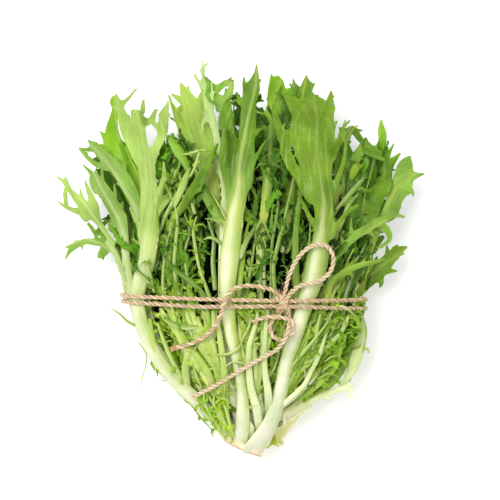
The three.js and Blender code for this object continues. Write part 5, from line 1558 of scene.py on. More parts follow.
def pressed(points):
    """Keeps what grows inside the head inside its outline, and above the surface that it lies on."""
    half, middle, rise = outline_at(points[:, 1])
    beyond = np.maximum(0, points[:, 1] - TIE_Y)
    half = (half + 0.28 * beyond) * 0.98
    rise = rise * 0.96 - 0.05 * beyond
    x, z = points[:, 0] - AXIS_X, points[:, 2] - middle
    far = np.sqrt((x / half) ** 2 + (z / rise) ** 2)
    held = SOFT_FROM + (1 - np.exp(-(far - SOFT_FROM) * 3)) / 12
    shrink = np.where(far > SOFT_FROM, held / np.maximum(far, 1e-6), 1)
    out = np.column_stack([AXIS_X + x * shrink, np.clip(points[:, 1], -118, 126), middle + z * shrink])
    out[:, 2] = np.maximum(out[:, 2], 0.6)
    return out


@functools.cache
def frill_faces():
    """The faces of one strip: four corners a row, then the left and right spike between each two."""
    faces = []
    for row in range(FRILL_ROWS - 1):
        a, b = 4 * row, 4 * row + 4
        left = 4 * FRILL_ROWS + 2 * row
        right = left + 1
        faces += [(a, a + 1, b + 1), (a, b + 1, b), (a + 3, b + 2, a + 2), (a + 3, b + 3, b + 2)]
        faces += [(a + 1, right, b + 1), (a + 2, b + 2, right), (a + 1, a + 2, right), (b + 1, right, b + 2)]
        faces += [(a, b, left), (a + 3, left, b + 3), (a, left, a + 3), (b, b + 3, left)]
    end = 4 * (FRILL_ROWS - 1)
    faces += [(0, 3, 2), (0, 2, 1), (end, end + 1, end + 2), (end, end + 2, end + 3)]
    return np.array(faces)


def frill_points(roots, headings, normals, lengths, widths, rng, curl):
    """The points of curly strips, all made at once: each turns in its plane and out of it as it grows,
    and has pointed teeth at some of the places between its rows."""
    count = len(roots)
    h, n, c = headings, normals, roots
    bend, swing, roll = (rng.normal(0, 0.24 * curl * k, count) for k in (1.0, 1.1, 0.8))
    wave = rng.normal(0, 0.3 * curl, count)
    step = (lengths / (FRILL_ROWS - 1))[:, None]
    rows, stations = [], []
    for row in range(FRILL_ROWS):
        t = row / (FRILL_ROWS - 1)
        side = np.cross(n, h)
        belly = 0.55 + 0.6 * math.sin(math.pi * min(1, 0.12 + t * 1.05))
        half = (widths / 2 * belly * (1 - 0.96 * t**3))[:, None]
        stations.append((c, side, h, half))
        up = n * FRILL_HALF_THICK
        rows.append(np.stack([c - side * half + up, c + side * half + up, c + side * half - up,
                              c - side * half - up], 1))
        c = c + h * step
        grow = 0.5 + t
        h, n = turned(h, side, bend * grow), turned(n, side, bend * grow)
        h = turned(h, n, swing * grow + wave * math.sin(5 * t))
        n = turned(n, h, roll * grow)
    spikes = []
    for row, ((c0, side, heading, half), (c1, *_)) in enumerate(zip(stations, stations[1:])):
        for sign in (-1, 1):
            drawn = rng.random(count) < (0.62 if row else 0.25)
            size = np.where(drawn, rng.uniform(0.6, 1.7, count), 0.06)[:, None]
            size = size * (0.45 + widths[:, None] * 0.42)
            spikes.append(mix(c0, c1, 0.75) + sign * side * (half + size * 0.75) + heading * size * 0.9)
    return np.concatenate([np.stack(rows, 1).reshape(count, -1, 3), np.stack(spikes, 1)], 1)


def add_frills(shell, roots, headings, normals, lengths, widths, tints, rng, curl, held=pressed, over=False):
    """Curly toothed strips. tints holds the colours of each strip's root and tip, held keeps them where
    they belong, and those that aren't over the large ribs stay under them."""
    points = frill_points(roots, headings, normals, lengths, widths, rng, curl)
    count, corners, _ = points.shape
    faces = frill_faces()[None] + (np.arange(count) * corners)[:, None, None]
    t = np.concatenate([np.repeat(np.arange(FRILL_ROWS), 4), np.repeat(np.arange(FRILL_ROWS - 1) + 0.7, 2)])
    t = t / (FRILL_ROWS - 1)
    across = np.concatenate([np.tile([-1, 1, 1, -1], FRILL_ROWS), np.tile([-1.6, 1.6], FRILL_ROWS - 1)])
    places = np.stack(np.broadcast_arrays(t[None] * lengths[:, None], across[None] * widths[:, None] / 2,
                                          across[None] * 0.6), 2)
    faded = mix(tints[:, :1], tints[:, 1:2], smooth(t * 1.3)[None, :, None]).reshape(-1, 3)
    placed = held(points.reshape(-1, 3))
    if not over:
        placed = under_ribs(placed, big_ribs())
    # The heart's painted shade right of its middle, and its greener left and deeper right.
    faded = faded * local_shade(placed) * leafy_tone(placed)
    shell.add(placed, faces.reshape(-1, 3), faded, places.reshape(-1, 3))


def add_stem(shell, line, widths, tints, flatness=0.6, sides=6, held=pressed, facing=(0, 0, 1), ridge=0.0):
    """A thin rib along a line, with a width and a tint at each of its points, and a painted highlight
    down one side and painted shade on the other, as strong as ridge.
    """
    tangent, normal, side = carried_frame(line, facing)
    around = circle(sides)
    ring = (normal[:, None] * np.cos(around)[None, :, None] * flatness
            + side[:, None] * np.sin(around)[None, :, None])
    tube = held((line[:, None] + ring * widths[:, None, None] / 2).reshape(-1, 3))
    s = np.arange(len(line)) * np.linalg.norm(line[1] - line[0])
    places = np.column_stack([np.repeat(s, sides), (np.sin(around)[None] * widths[:, None] / 2).ravel(),
                              np.tile(np.sin(around), len(line))])
    # lit is the painted highlight and shaded the painted shade, both set by ridge.
    lit = np.tile(ridge * np.maximum(0, np.cos(around + 0.7)) ** 3, len(line))[:, None]
    shaded = np.tile(1 - 0.35 * min(ridge, 0.5) * (1 + np.cos(around - 2.2)), len(line))[:, None]
    skin = mix(np.repeat(tints, sides, 0) * shaded, colour("eff1d2"), lit) * local_shade(tube)
    skin = skin * mix(1.0, leafy_tone(tube), STEM_SHARE)
    shell.add(np.vstack([tube, held(line[[0, -1]])]), tube_faces(len(line), sides),
              np.vstack([skin, tints[[0, -1]]]), np.vstack([places, places[[0, -1]]]))
    return tangent, normal, side


def leafy_tone(points):
    """The heart's leaf is fresher green to the left, and deeper to the right."""
    return mix(LEAFY_LEFT, LEAFY_RIGHT, smooth((points[:, 0] - 2) / 16)[:, None])


def local_shade(points):
    """Painted shade in the heart between its middle and its right leaf, above the twine."""
    x, y = points[:, 0], points[:, 1]
    inside = smooth((x - 4) / 6) * smooth((52 - x) / 8) * smooth((y + 26) / 8)
    return mix(np.ones(3), RIGHT_SHADE, inside[:, None])


def some_of(palette, rng, count, low=0.75):
    """Colours drawn from a palette, some of them darker and some lighter."""
    return np.array(palette)[rng.integers(0, len(palette), count)] * rng.uniform(low, 1.2, (count, 1))


def inner_tint(y, depth, rng):
    """Green above the twine, yellow-green towards the stump, with painted shade deep in the head."""
    count = len(y)
    low = smooth((-12 - y) / 42)[:, None]
    depth = depth - 14 * smooth((y - 40) / 40)
    tint = mix(some_of(GREENS, rng, count, 0.34), some_of(PALES, rng, count), low)
    return tint * mix(1.0, mix(0.05, 0.85, low), smooth((depth - 1) / 11)[:, None])


def lobes_along(shell, rng, line, frames, spots, lengths, widths, spread, curl, held=pressed, tints=None,
                over=False):
    """Curly lobes down both sides of a rib."""
    tangent, normal, side = frames
    count = len(spots)
    if not count:
        return
    sign = np.where(np.arange(count) % 2, 1.0, -1.0)[:, None]
    forward = np.radians(rng.uniform(*spread, count))[:, None]
    out = unit(side[spots] * sign + normal[spots] * rng.normal(0.15, 0.5, (count, 1)))
    heading = unit(tangent[spots] * np.cos(forward) + out * np.sin(forward))
    plane = unit(np.cross(heading, np.cross(normal[spots] + rng.normal(0, 0.45, (count, 3)), heading)))
    roots = line[spots]
    if tints is None:
        y, depth = roots[:, 1], depth_inside(roots)
        tints = np.stack([inner_tint(y - 14, depth, rng), inner_tint(y, depth - 3, rng)], 1)
    add_frills(shell, roots, heading, plane, lengths, widths, tints, rng, curl, held, over)


def add_inner_leaf(shell, rng, a, b, top):
    """One young leaf of the heart: a thin rib with curly toothed lobes down both its sides."""
    levels = np.linspace(INNER_START_Y, top, 7)
    drift = rng.normal(0, 0.045, (7, 2)).cumsum(0)
    foot = np.array([STUMP_X + 5 * a, -100, STUMP_Z + 6 * b])
    mids = [head_point(a + da, b + db, y) for y, (da, db) in zip(levels, drift)]
    line, length = respaced(catmull_rom([foot, *mids], 10), 3.0)
    s = np.linspace(0, length, len(line))
    widths = rng.uniform(1.3, 3.0) * (1 - 0.7 * (s / length) ** 1.5)
    low = smooth((-5 - line[:, 1]) / 70)[:, None]
    depth = depth_inside(line)
    # The rib is pale low down and green higher up, with painted shade the deeper it lies.
    tints = mix(colour("6f9a35"), colour("c3cf95"), low) * mix(1.0, 0.35, smooth((depth - 4) / 18))[:, None]
    outward = unit(np.array([a * 0.8, 0.0, b + 0.001])) + rng.normal(0, 0.5, 3)
    frames = add_stem(shell, line, widths, tints, facing=outward)
    spots = np.arange(rng.uniform(6, 12), len(line) - 1, rng.uniform(1.7, 2.4)).astype(int)
    spots = spots[line[spots, 1] > -92]
    lengths = rng.uniform(14, 36, len(spots)) * (1 - 0.35 * (spots / len(line)) ** 2)
    lengths = lengths * (1 - 0.6 * smooth((line[spots, 1] - 45) / 35))
    broad = rng.uniform(1.4, 3.3, len(spots)) * (1 + 0.5 * smooth((-20 - line[spots, 1]) / 30))
    lobes_along(shell, rng, line, frames, spots, lengths, broad, (5, 30), 0.65)


# The tints that most strands have at their foot and their tip.
LIGHT = "b3c873"
LEAFY = "86a83c"
LIMY = "9db83f"
DARK = "3f6f16"
CREAM = "cdd2a6"
IVORY = "f0efdc"
SPRING = "b8d648"
VIVID = "9cc028"

# Thin leaves and ribs that show between the large ones: the tints of foot and tip, how many lobes, how
# long those are in millimetres, and places: x, y in pixels, millimetres above the head's outline, and the
# width there in pixels.
STRANDS = [
    (LIGHT, LEAFY, 5, 8, [(179, 300, -7, 4.5), (177, 282, -5, 4.5), (174.5, 264, -4, 4),
     (178, 228, -3, 3.4), (177, 212, -3, 2.6), (171, 196, -3, 1.6)]),
    (LIGHT, LIMY, 7, 8, [(211, 300, -7, 4.5), (205, 282, -4, 3.4), (199.5, 266, -3, 3), (195, 240, -2, 3.6),
     (194, 228, -2, 3), (197, 217, -1, 1.2)]),
    (LEAFY, DARK, 4, 8, [(207, 300, -6, 6), (200, 290, -3, 5.6), (190, 280, -2, 5.6), (178, 271, -2, 4.4),
     (166, 258, -2, 2.4), (162, 250, -3, 1.2)]),
    (LIGHT, LIMY, 0, 0, [(226, 250, -6, 1.6), (219, 241, -3, 3.4), (211, 237.5, -1, 3.4),
     (203.5, 239.5, -2, 1)]),
    ("8fae45", "568718", 3, 6, [(226, 224, -3, 3), (218, 216, -4, 9), (212, 205, -6, 11),
     (206, 194, -9, 10), (202, 186, -11, 7)]),
    ("b4ca78", LEAFY, 0, 0, [(228, 224, -1, 2), (223, 213, -1.5, 2.2), (217, 202, -3, 1.8),
     (211, 191, -5, 1)]),
    (LIGHT, LEAFY, 1, 4, [(223, 226, -2, 2), (214, 220, -2, 1.8), (206, 219, -3, 0.9)]),
    (LIGHT, LEAFY, 8, 8, [(275, 306, -6, 4.4), (274, 285, -4, 4.2), (273.5, 265, -3, 4), (277, 246, -2, 4),
     (282, 230, -2, 3.6), (287, 206, -3, 3.2), (291, 190, -4, 2.6), (293, 176, -5, 2)]),
    (LEAFY, DARK, 5, 8, [(270, 306, -8, 3), (271, 280, -6, 3.4), (272, 246, -5, 3.6), (276, 222, -4, 3.6),
     (278, 205, -5, 3), (276, 190, -6, 2)]),
    (LIGHT, LEAFY, 3, 6, [(297, 306, -5, 7), (296, 280, -3.5, 7.4), (295, 250, -3, 7), (296, 228, -3, 6.4),
     (298, 208, -4, 5.4), (300, 192, -5, 4)]),
    (LIGHT, LEAFY, 2, 6, [(309, 262, -4, 2), (308.6, 246, -3, 2.4), (309.5, 232, -3, 2.2),
     (310, 214, -3, 1.2)]),
    (CREAM, LEAFY, 6, 9, [(248, 300, -7, 3), (249, 280, -5, 3), (252, 262, -4, 2.6), (256, 240, -4, 2.2),
     (262, 224, -5, 1.6)]),
    (LIGHT, DARK, 6, 9, [(262, 300, -8, 4), (260, 276, -6, 3.6), (263, 250, -5, 3), (259, 232, -4, 2.4)]),
    (LIGHT, LEAFY, 7, 9, [(165, 300, -7, 4), (163, 284, -5, 3.6), (165, 262, -4, 3), (168, 243, -4, 2.2),
     (172, 226, -5, 1.4)]),
    (LIGHT, DARK, 6, 9, [(190, 300, -8, 5), (188, 276, -6, 4), (186, 252, -6, 3), (190, 232, -5, 2.4),
     (186, 214, -6, 1.4)]),
    (LEAFY, DARK, 6, 10, [(216, 290, -8, 5), (213, 262, -7, 5), (214, 240, -7, 4), (209, 220, -8, 3)]),
    (LEAFY, LEAFY, 4, 8, [(259, 250, -5, 2), (256, 234, -3, 3), (262, 222, -2, 3.4), (270, 240, -4, 1.6)]),
    (LEAFY, DARK, 8, 10, [(310, 300, -5, 4), (318, 280, -4, 4), (326, 262, -4, 3.4), (334, 240, -4, 2.6),
     (338, 222, -5, 1.6)]),
    (LIGHT, LEAFY, 6, 9, [(330, 300, -6, 4), (338, 283, -5, 4), (350, 268, -4, 3), (362, 252, -4, 2),
     (368, 240, -5, 1)]),
    (DARK, DARK, 6, 10, [(345, 300, -8, 5), (352, 280, -7, 5), (360, 262, -7, 4), (364, 240, -8, 3),
     (360, 222, -9, 2)]),
    (LEAFY, LIMY, 6, 9, [(320, 250, -6, 3), (326, 232, -4, 3), (334, 214, -4, 2.6), (344, 200, -5, 2),
     (352, 188, -6, 1)]),
    (LEAFY, DARK, 6, 9, [(135, 300, -5, 4), (140, 280, -4, 4), (156, 268, -5, 3.4), (160, 250, -6, 2)]),
    (DARK, LEAFY, 7, 9, [(152, 240, -8, 4), (158, 222, -7, 4), (165, 206, -7, 3), (166, 190, -8, 2)]),
    (LEAFY, LEAFY, 6, 9, [(196, 214, -8, 4), (190, 196, -7, 4), (182, 180, -7, 3), (176, 166, -8, 1.6)]),
    (LEAFY, LIMY, 7, 8, [(170, 200, -8, 3), (172, 186, -7, 3.4), (178, 170, -6, 4), (181, 158, -7, 3),
     (176, 150, -8, 1)]),
    ("7fae2c", "8fbc3a", 6, 5, [(192, 178, -6, 4), (186, 164, -5, 8), (179, 152, -5, 11), (172, 142, -6, 7),
     (168, 138, -7, 2)]),
    ("c3d692", "a9c468", 3, 5, [(175, 208, -3, 2.4), (179, 198, -2, 6), (183.5, 187, -2, 8),
     (187, 177, -3, 6), (190, 169, -4, 2)]),
    ("b7d070", "9fc04a", 3, 4, [(182, 156, -3, 1.5), (192, 154, -2, 2.4), (201, 151, -2, 3),
     (209, 153, -3, 1)]),
    ("b7d070", "9fc04a", 3, 4, [(190, 178, -3, 2.4), (196, 168, -2, 3), (199, 158, -2, 3),
     (202, 148, -3, 1)]),
    ("9fc04a", "8ab53a", 4, 5, [(200, 182, -4, 4), (204, 172, -3, 6), (209, 162, -3, 5),
     (214, 154, -4, 2)]),
    (LEAFY, "7ba82e", 5, 6, [(158, 240, -4, 3), (166, 218, -3, 4), (174, 202, -3, 5), (181, 190, -4, 4),
     (188, 182, -5, 1.4)]),
    ("5e9016", "6f9f24", 3, 6, [(372, 222, -12, 6), (373, 200, -10, 12), (371, 180, -10, 14),
     (373, 162, -10, 13), (379, 150, -11, 9), (386, 150, -12, 3)]),
    ("4c7d12", "5c8c1a", 9, 9, [(343, 250, -10, 8), (349, 222, -9, 18), (352, 196, -9, 22),
     (350, 170, -9, 20), (346, 150, -10, 12), (344, 136, -11, 4)]),
    ("44740f", "568718", 9, 9, [(360, 248, -12, 8), (364, 220, -11, 15), (361, 192, -11, 16),
     (357, 170, -12, 12), (352, 154, -13, 4)]),
    (LIGHT, LEAFY, 4, 6, [(334, 242, -3, 3), (342, 222, -2, 4), (349.5, 204, -2, 4), (363, 190, -3, 1.4)]),
    (LIGHT, LEAFY, 4, 6, [(336, 210, -3, 3), (348, 196, -2, 5), (360, 182, -2, 5), (367, 173, -3, 1.4)]),
    ("6f9f24", "86b13a", 6, 8, [(330, 262, -8, 5), (342, 240, -7, 12), (362, 224, -7, 15),
     (378, 208, -8, 13), (390, 206, -9, 4)]),
    ("44740f", "5c8c1a", 9, 9, [(336, 300, -11, 8), (350, 280, -10, 15), (362, 260, -10, 16),
     (374, 246, -11, 12), (386, 236, -12, 4)]),
    (DARK, "568718", 9, 9, [(324, 296, -10, 8), (332, 272, -9, 12), (338, 250, -9, 12),
     (340, 228, -10, 6)]),
    ("9dbb1c", "b0c83c", 3, 4, [(350, 180, -3, 4), (353, 172, -1, 8), (357, 166, -1, 8),
     (363, 166, -3, 3)]),
    ("4c7d12", "5c8c1a", 4, 6, [(285, 152, -16, 6), (286, 127, -15, 10), (285, 108, -14, 9),
     (283, 98, -14, 3)]),
    ("a9c95a", "8fb53a", 5, 7, [(237, 302, -6, 5), (240, 280, -3, 6), (242.5, 255, -3, 6),
     (246, 236, -4, 4), (249, 222, -5, 2)]),
    ("a9c95a", "8fb53a", 0, 0, [(193, 322, -6, 7), (192, 308, -5, 9), (191, 293, -6, 7)]),
    (CREAM, LIGHT, 0, 0, [(190, 398, -4, 7), (187, 384, -1, 7.4), (186, 370, 0, 8), (187, 358, 1, 8),
     (189, 351, 1, 6)]),
    (LIGHT, LEAFY, 3, 5, [(196, 344, -3, 3), (190, 330, -1, 4), (180, 326, 0, 5.4), (170, 322, 0, 5),
     (162, 316, -2, 2)]),
    (LEAFY, LIGHT, 2, 4, [(206, 325, -4, 3), (194, 327, -1, 5), (182, 326, 0, 5), (170, 321, -1, 4)]),
    (LIGHT, CREAM, 0, 0, [(222, 372, -3, 1.4), (227, 364.5, 0, 1.8), (235, 360.5, 1, 1.8),
     (243, 362.5, 0, 1.8), (248, 366, -3, 1.2)]),
    (LIMY, LIGHT, 3, 4, [(211, 356, -3, 2), (220, 353.5, 0, 2.4), (229, 352.5, 0, 2.6), (237, 348, 1, 2.6),
     (241, 343, -1, 1.4)]),
    (IVORY, "d3dfaa", 3, 6, [(260, 440, -4, 9), (257, 412, -1.6, 9), (250.5, 384, -1.6, 7.6),
     (248.6, 350, -2, 6), (252, 335, -2, 5), (256.5, 320, -3, 4), (258, 306, -6, 3)]),
    (IVORY, "d3dfaa", 2, 6, [(265, 436, -10, 7), (268, 416, -6, 8.2), (267.6, 393, -1, 8),
     (264.6, 372, -1, 6.4), (264, 350, -2, 5.6), (266, 326, -3, 5), (267, 308, -6, 5)]),
    (LIGHT, LEAFY, 3, 6, [(288, 371, -6, 3), (300, 355, -1, 3.4), (316, 337, 0, 3), (327, 321, 0, 2.4),
     (334, 306, -2, 1.6)]),
    ("f4f3e4", "c4d48c", 3, 7, [(277, 412, -5, 4), (287, 401, 0, 5.4), (303, 386, 0, 5), (311, 371, 0, 4.6),
     (319, 355, 0, 4.4), (325, 336, -1, 3.4), (330, 318, -4, 2.4)]),
    (LIGHT, LIGHT, 3, 6, [(321, 352, -3, 2.4), (334, 340, -1, 4.4), (343, 328, -1, 4.4),
     (349, 316, -3, 3)]),
    (LIGHT, LIMY, 2, 6, [(312, 350, -4, 3.4), (316, 338, -1, 4.4), (317, 326, -1, 3.4),
     (321, 310, -3, 2.4)]),
    (CREAM, LIGHT, 3, 7, [(278, 416, -6, 2), (290, 400, -3, 2.2), (300, 391, -2, 2.2), (306, 380, -2, 2),
     (303, 366, -2, 1.4)]),
    ("e2e8c4", "ccd998", 1, 5, [(342, 388, -9, 3), (351, 376, -7, 9), (357, 360, -6, 13),
     (360, 342, -6, 14), (360, 324, -6, 10), (357, 307, -8, 4)]),
    ("c0da6a", "94bc38", 12, 9, [(298, 402, -12, 5), (316, 388, -9, 7), (333, 368, -8, 7),
     (341, 344, -8, 6), (344, 316, -9, 3)]),
    ("a8c850", "7da82a", 12, 9, [(306, 396, -15, 5), (324, 379, -11, 7), (334, 352, -10, 8),
     (337, 328, -10, 6), (338, 308, -11, 4)]),
    ("b8d266", "92ba36", 12, 9, [(308, 404, -16, 5), (330, 388, -14, 8), (346, 366, -13, 9),
     (352, 336, -13, 8), (354, 310, -14, 4)]),
    ("8fb53a", "6f9f24", 9, 8, [(303, 404, -19, 6), (324, 388, -17, 10), (340, 368, -16, 11),
     (348, 346, -16, 8)]),
    ("a5bf60", "7fa336", 5, 8, [(160, 360, -14, 5), (170, 372, -13, 10), (186, 388, -12, 10),
     (200, 402, -12, 6)]),
    (LIGHT, LIMY, 3, 8, [(350, 384, -10, 3), (357, 368, -6, 3.4), (364, 350, -5, 3), (367, 332, -5, 2.4),
     (364, 318, -5, 1.6)]),
    (LIGHT, LEAFY, 0, 0, [(330, 310, -3, 2), (342, 306, 1, 2.6), (354, 315, 1, 2.2), (364, 322, -3, 1.6),
     (367, 338, -6, 1.6), (364, 352, -8, 1)]),
    (LIGHT, LIMY, 0, 0, [(322, 372, -3, 1.4), (330, 366, -1, 1.4), (338, 368, -1, 1.3), (343, 375, -3, 1)]),
    (LIGHT, LIMY, 0, 0, [(318, 380, -3, 1.6), (328, 374, -1, 1.5), (338, 378, -1, 1.3), (342, 386, -3, 1)]),
    (LIGHT, LIMY, 0, 0, [(324, 362, -3, 1.4), (334, 356, -1, 1.4), (343, 360, -2, 1.2)]),
    ("cfdc96", "a9c25c", 4, 7, [(192, 408, -6, 3), (176, 388, -1, 6), (163, 366, 1, 6.4), (154, 342, 1, 6),
     (150, 318, -1, 4)]),
    (LIGHT, LIMY, 4, 7, [(204, 408, -6, 4), (190, 390, -2, 5), (176, 366, 0, 5), (166, 344, 0, 4.4),
     (158, 322, -2, 3)]),
    (IVORY, "cfdba4", 0, 0, [(236, 440, -5, 6), (228, 424, -5, 6), (222, 404, -5, 5), (218, 386, -6, 4)]),
    (IVORY, "e0e6c0", 0, 0, [(251, 444, -3, 9), (250, 430, -3, 9), (246, 420, -4, 8), (244, 400, -6, 7),
     (243, 380, -7, 5)]),
    (IVORY, "e0e6c0", 0, 0, [(264, 446, -6, 8), (262, 424, -6, 8), (260, 404, -7, 7), (257, 380, -8, 5)]),
    ("d8d88a", "b4c24a", 3, 6, [(240, 442, -8, 6), (231, 430, -6, 7), (226, 414, -6, 6),
     (222, 398, -7, 4)]),
    (LEAFY, LIMY, 0, 0, [(138, 344, -14, 1.4), (145, 356, -17, 1.4), (143, 368, -24, 1.4),
     (139.5, 380, -28, 1.4), (138, 391, -32, 0.8)]),
    (LEAFY, LEAFY, 0, 0, [(134, 326, -8, 3), (126, 322, -10, 3.2), (118, 315, -12, 2.4),
     (109, 309, -14, 0.8)]),
    (LIMY, LEAFY, 5, 5, [(188.5, 406, -14, 1.4), (196.5, 417, -12, 2.2), (204, 426, -12, 2.2),
     (214, 437, -12, 0.8)]),
    (LIMY, LEAFY, 2, 4, [(203, 425, -12, 1.2), (203.5, 412, -8, 1.4), (206, 402, -3, 1.2),
     (208, 393, -2, 0.8)]),
    (LIGHT, LIMY, 4, 7, [(148, 345, -8, 4), (158, 366, -4, 5), (171, 384, -3, 5), (186, 398, -6, 3)]),
    (LIGHT, LIGHT, 3, 7, [(146, 322, -4, 4), (155, 342, -3, 5), (168, 362, -2, 5), (181, 378, -4, 3)]),
    (LIMY, LEAFY, 5, 8, [(204, 392, -5, 3), (197, 376, -2, 3), (193, 360, -1, 3), (197, 344, -2, 2.4),
     (203, 330, -4, 2)]),
    (LIGHT, LIMY, 6, 8, [(222, 420, -6, 3), (216, 402, -2, 3.4), (212, 384, -1, 3), (206, 366, -2, 2),
     (208, 350, -4, 1.4)]),
    (LIGHT, LIMY, 6, 8, [(226, 424, -6, 3), (223, 404, -2, 3), (225, 386, -1, 2.6), (220, 368, -2, 2),
     (216, 352, -4, 1.4)]),
    (LIMY, LIMY, 3, 6, [(228, 430, -7, 4), (220, 412, -3, 4.4), (217, 394, -3, 4)]),
    ("c4dc58", VIVID, 7, 7, [(230, 440, 2, 3), (224, 424, 4, 3), (217, 410, 4, 3.4), (210, 398, 1, 2.6),
     (205, 390, -2, 1.6)]),
    ("c8dc70", "a8cc2c", 7, 7, [(233, 438, 2, 3), (229, 420, 4, 3.2), (224, 404, 2, 3), (215, 394, -1, 2)]),
    (SPRING, VIVID, 6, 6, [(228, 436, 3, 2.6), (220, 420, 5, 3), (214, 402, 3, 2.4), (216, 392, -1, 1.4)]),
    ("d8e494", SPRING, 5, 6, [(231, 444, 2, 4), (227, 430, 4, 4.4), (221, 416, 4, 4), (219, 402, 2, 3)]),
    ("c4dc58", VIVID, 6, 6, [(222, 436, 2, 3), (213, 424, 6, 3.4), (205, 412, 7, 3.2), (198, 401, 5, 2)]),
    (SPRING, "8fbc3a", 7, 7, [(221, 431, 3, 3), (211, 416, 7, 3.2), (205, 402, 7, 2.6),
     (204, 392, 3, 1.4)]),
    ("d8e494", SPRING, 4, 5, [(225, 441, 2, 4), (217, 430, 5, 4.4), (210, 419, 6, 4), (202, 409, 4, 2.4)]),
    (VIVID, SPRING, 5, 5, [(216, 404, 4, 2), (221, 398, 5, 2.4), (227, 400, 4, 2), (228, 408, 3, 1.4)]),
    (LEAFY, DARK, 5, 6, [(156, 292, 3, 2.6), (151, 283, 8, 3.4), (144, 276, 9.5, 4), (137, 270, 9, 3),
     (131, 266, 7, 1)]),
    (DARK, LEAFY, 3, 5, [(155, 290, 3, 2.4), (153, 280, 8, 3), (151, 271, 9.5, 3), (149, 262, 9, 1)]),
    (LIGHT, LEAFY, 4, 7, [(213, 345, -5, 3), (216, 330, -2, 3.4), (214, 316, -2, 3), (216, 306, -5, 2)]),
    (CREAM, LIGHT, 1, 5, [(205, 344, -3, 3), (211, 334, -1, 5), (214, 322, -1, 5), (213, 310, -3, 4)]),
    (LIGHT, LIMY, 5, 7, [(240, 342, -5, 2), (247, 330, -1, 2.4), (250, 318, -1, 2), (247, 306, -4, 1.4)]),
]


def strand_line(places):
    """The line of a strand, with its widths, at even steps."""
    p = np.array(places, float)
    p[:, 2] += surface_z(p[:, 0], p[:, 1])
    whole = catmull_rom(p, 12)
    along = distances(whole[:, :3])
    at = np.linspace(0, along[-1], max(4, int(along[-1] / STRAND_STEP)))
    return read_at(at, along, whole)


# Pale stems that fan out between the large ribs: their foot x, y, where they end from left to right, how
# far up, how many, their lift, their width and their tints.
FANS = [
    (-8, -103, -54, -15, -30, 10, -1.5, 3.7, ("bfd472", "aec85c", "98b83c", "cfd993")),
    (8, -99, -3, 24, -36, 5, -3.5, 3.0, ("c5d68c", "b3c873", "a3bd4e", "d3dba6")),
    (25, -97, 46, 72, -36, 9, -5.0, 3.1, ("a6c252", "8fb03a", "76a024", "b6ca74")),
]
# Along each of them: its shares of the way across and along, how much deeper it lies, and its width.
FAN_STATIONS = [(0.0, 0.0, -3, 0.8), (0.3, 0.4, 0, 1.1), (0.75, 0.75, 0, 1.0), (1.0, 1.0, -3, 0.5)]


def fan_rows(rng):
    """Rows like those of STRANDS for each stem of the fans."""
    rows = []
    for x, y, left, right, top, count, lift, width, palette in FANS:
        for k in range(count):
            end = mix(left, right, (k + rng.uniform(0.1, 0.9)) / count)
            bow = rng.uniform(-4, 4)
            places = [(mix(x, end, across) + bow * math.sin(math.pi * along),
                       mix(y, top + rng.uniform(-8, 4), along),
                       lift + deeper + rng.uniform(-1.5, 0.5), width * share * rng.uniform(0.8, 1.3))
                      for across, along, deeper, share in FAN_STATIONS]
            tints = rng.permutation(palette)
            rows.append((tints[0], tints[1], int(rng.integers(3, 8)), 8, places))
    return rows


def drawn_strands():
    """The rows of the strands, with their places and widths in millimetres."""
    rows = []
    for *row, drawn in STRANDS:
        places = [(*from_photo(x, y, to_half), lift, to_tenth(width * PIXEL)) for x, y, lift, width in drawn]
        rows.append((*row, places))
    return rows


def add_strands(shell, rng):
    """The strands and the fans, each with its few lobes."""
    for foot, tip, lobes, reach, places in drawn_strands() + fan_rows(rng):
        whole = strand_line(places)
        line, widths = whole[:, :3], np.maximum(whole[:, 3], 0.4)
        share = np.linspace(0, 1, len(line))[:, None]
        shade = mix(np.ones(3), STRAND_SHADE, smooth((places[-1][1] + 20) / 30))
        first, last = colour(foot) * shade, colour(tip) * shade
        # ridge sets how strong each stem's painted highlight and shade are.
        frames = add_stem(shell, line, widths, mix(first, last, share), flatness=0.42, sides=10,
                          held=above_floor, ridge=0.45 if widths.max() < 3.6 else 0.12)
        spots = np.sort(rng.choice(np.arange(2, len(line)), lobes)) if lobes else np.array([], int)
        tints = mix(first, last, share[spots]) * rng.uniform(0.8, 1.1, (len(spots), 1))
        tints = np.stack([tints, mix(tints, last, 0.6)], 1)
        lobes_along(shell, rng, line, frames, spots, reach * rng.uniform(0.5, 1.3, len(spots)),
                    rng.uniform(1.0, 2.0, len(spots)) * min(1.4, 0.6 + widths.mean() * 0.2), (22, 60), 0.9,
                    above_floor, tints, over=True)


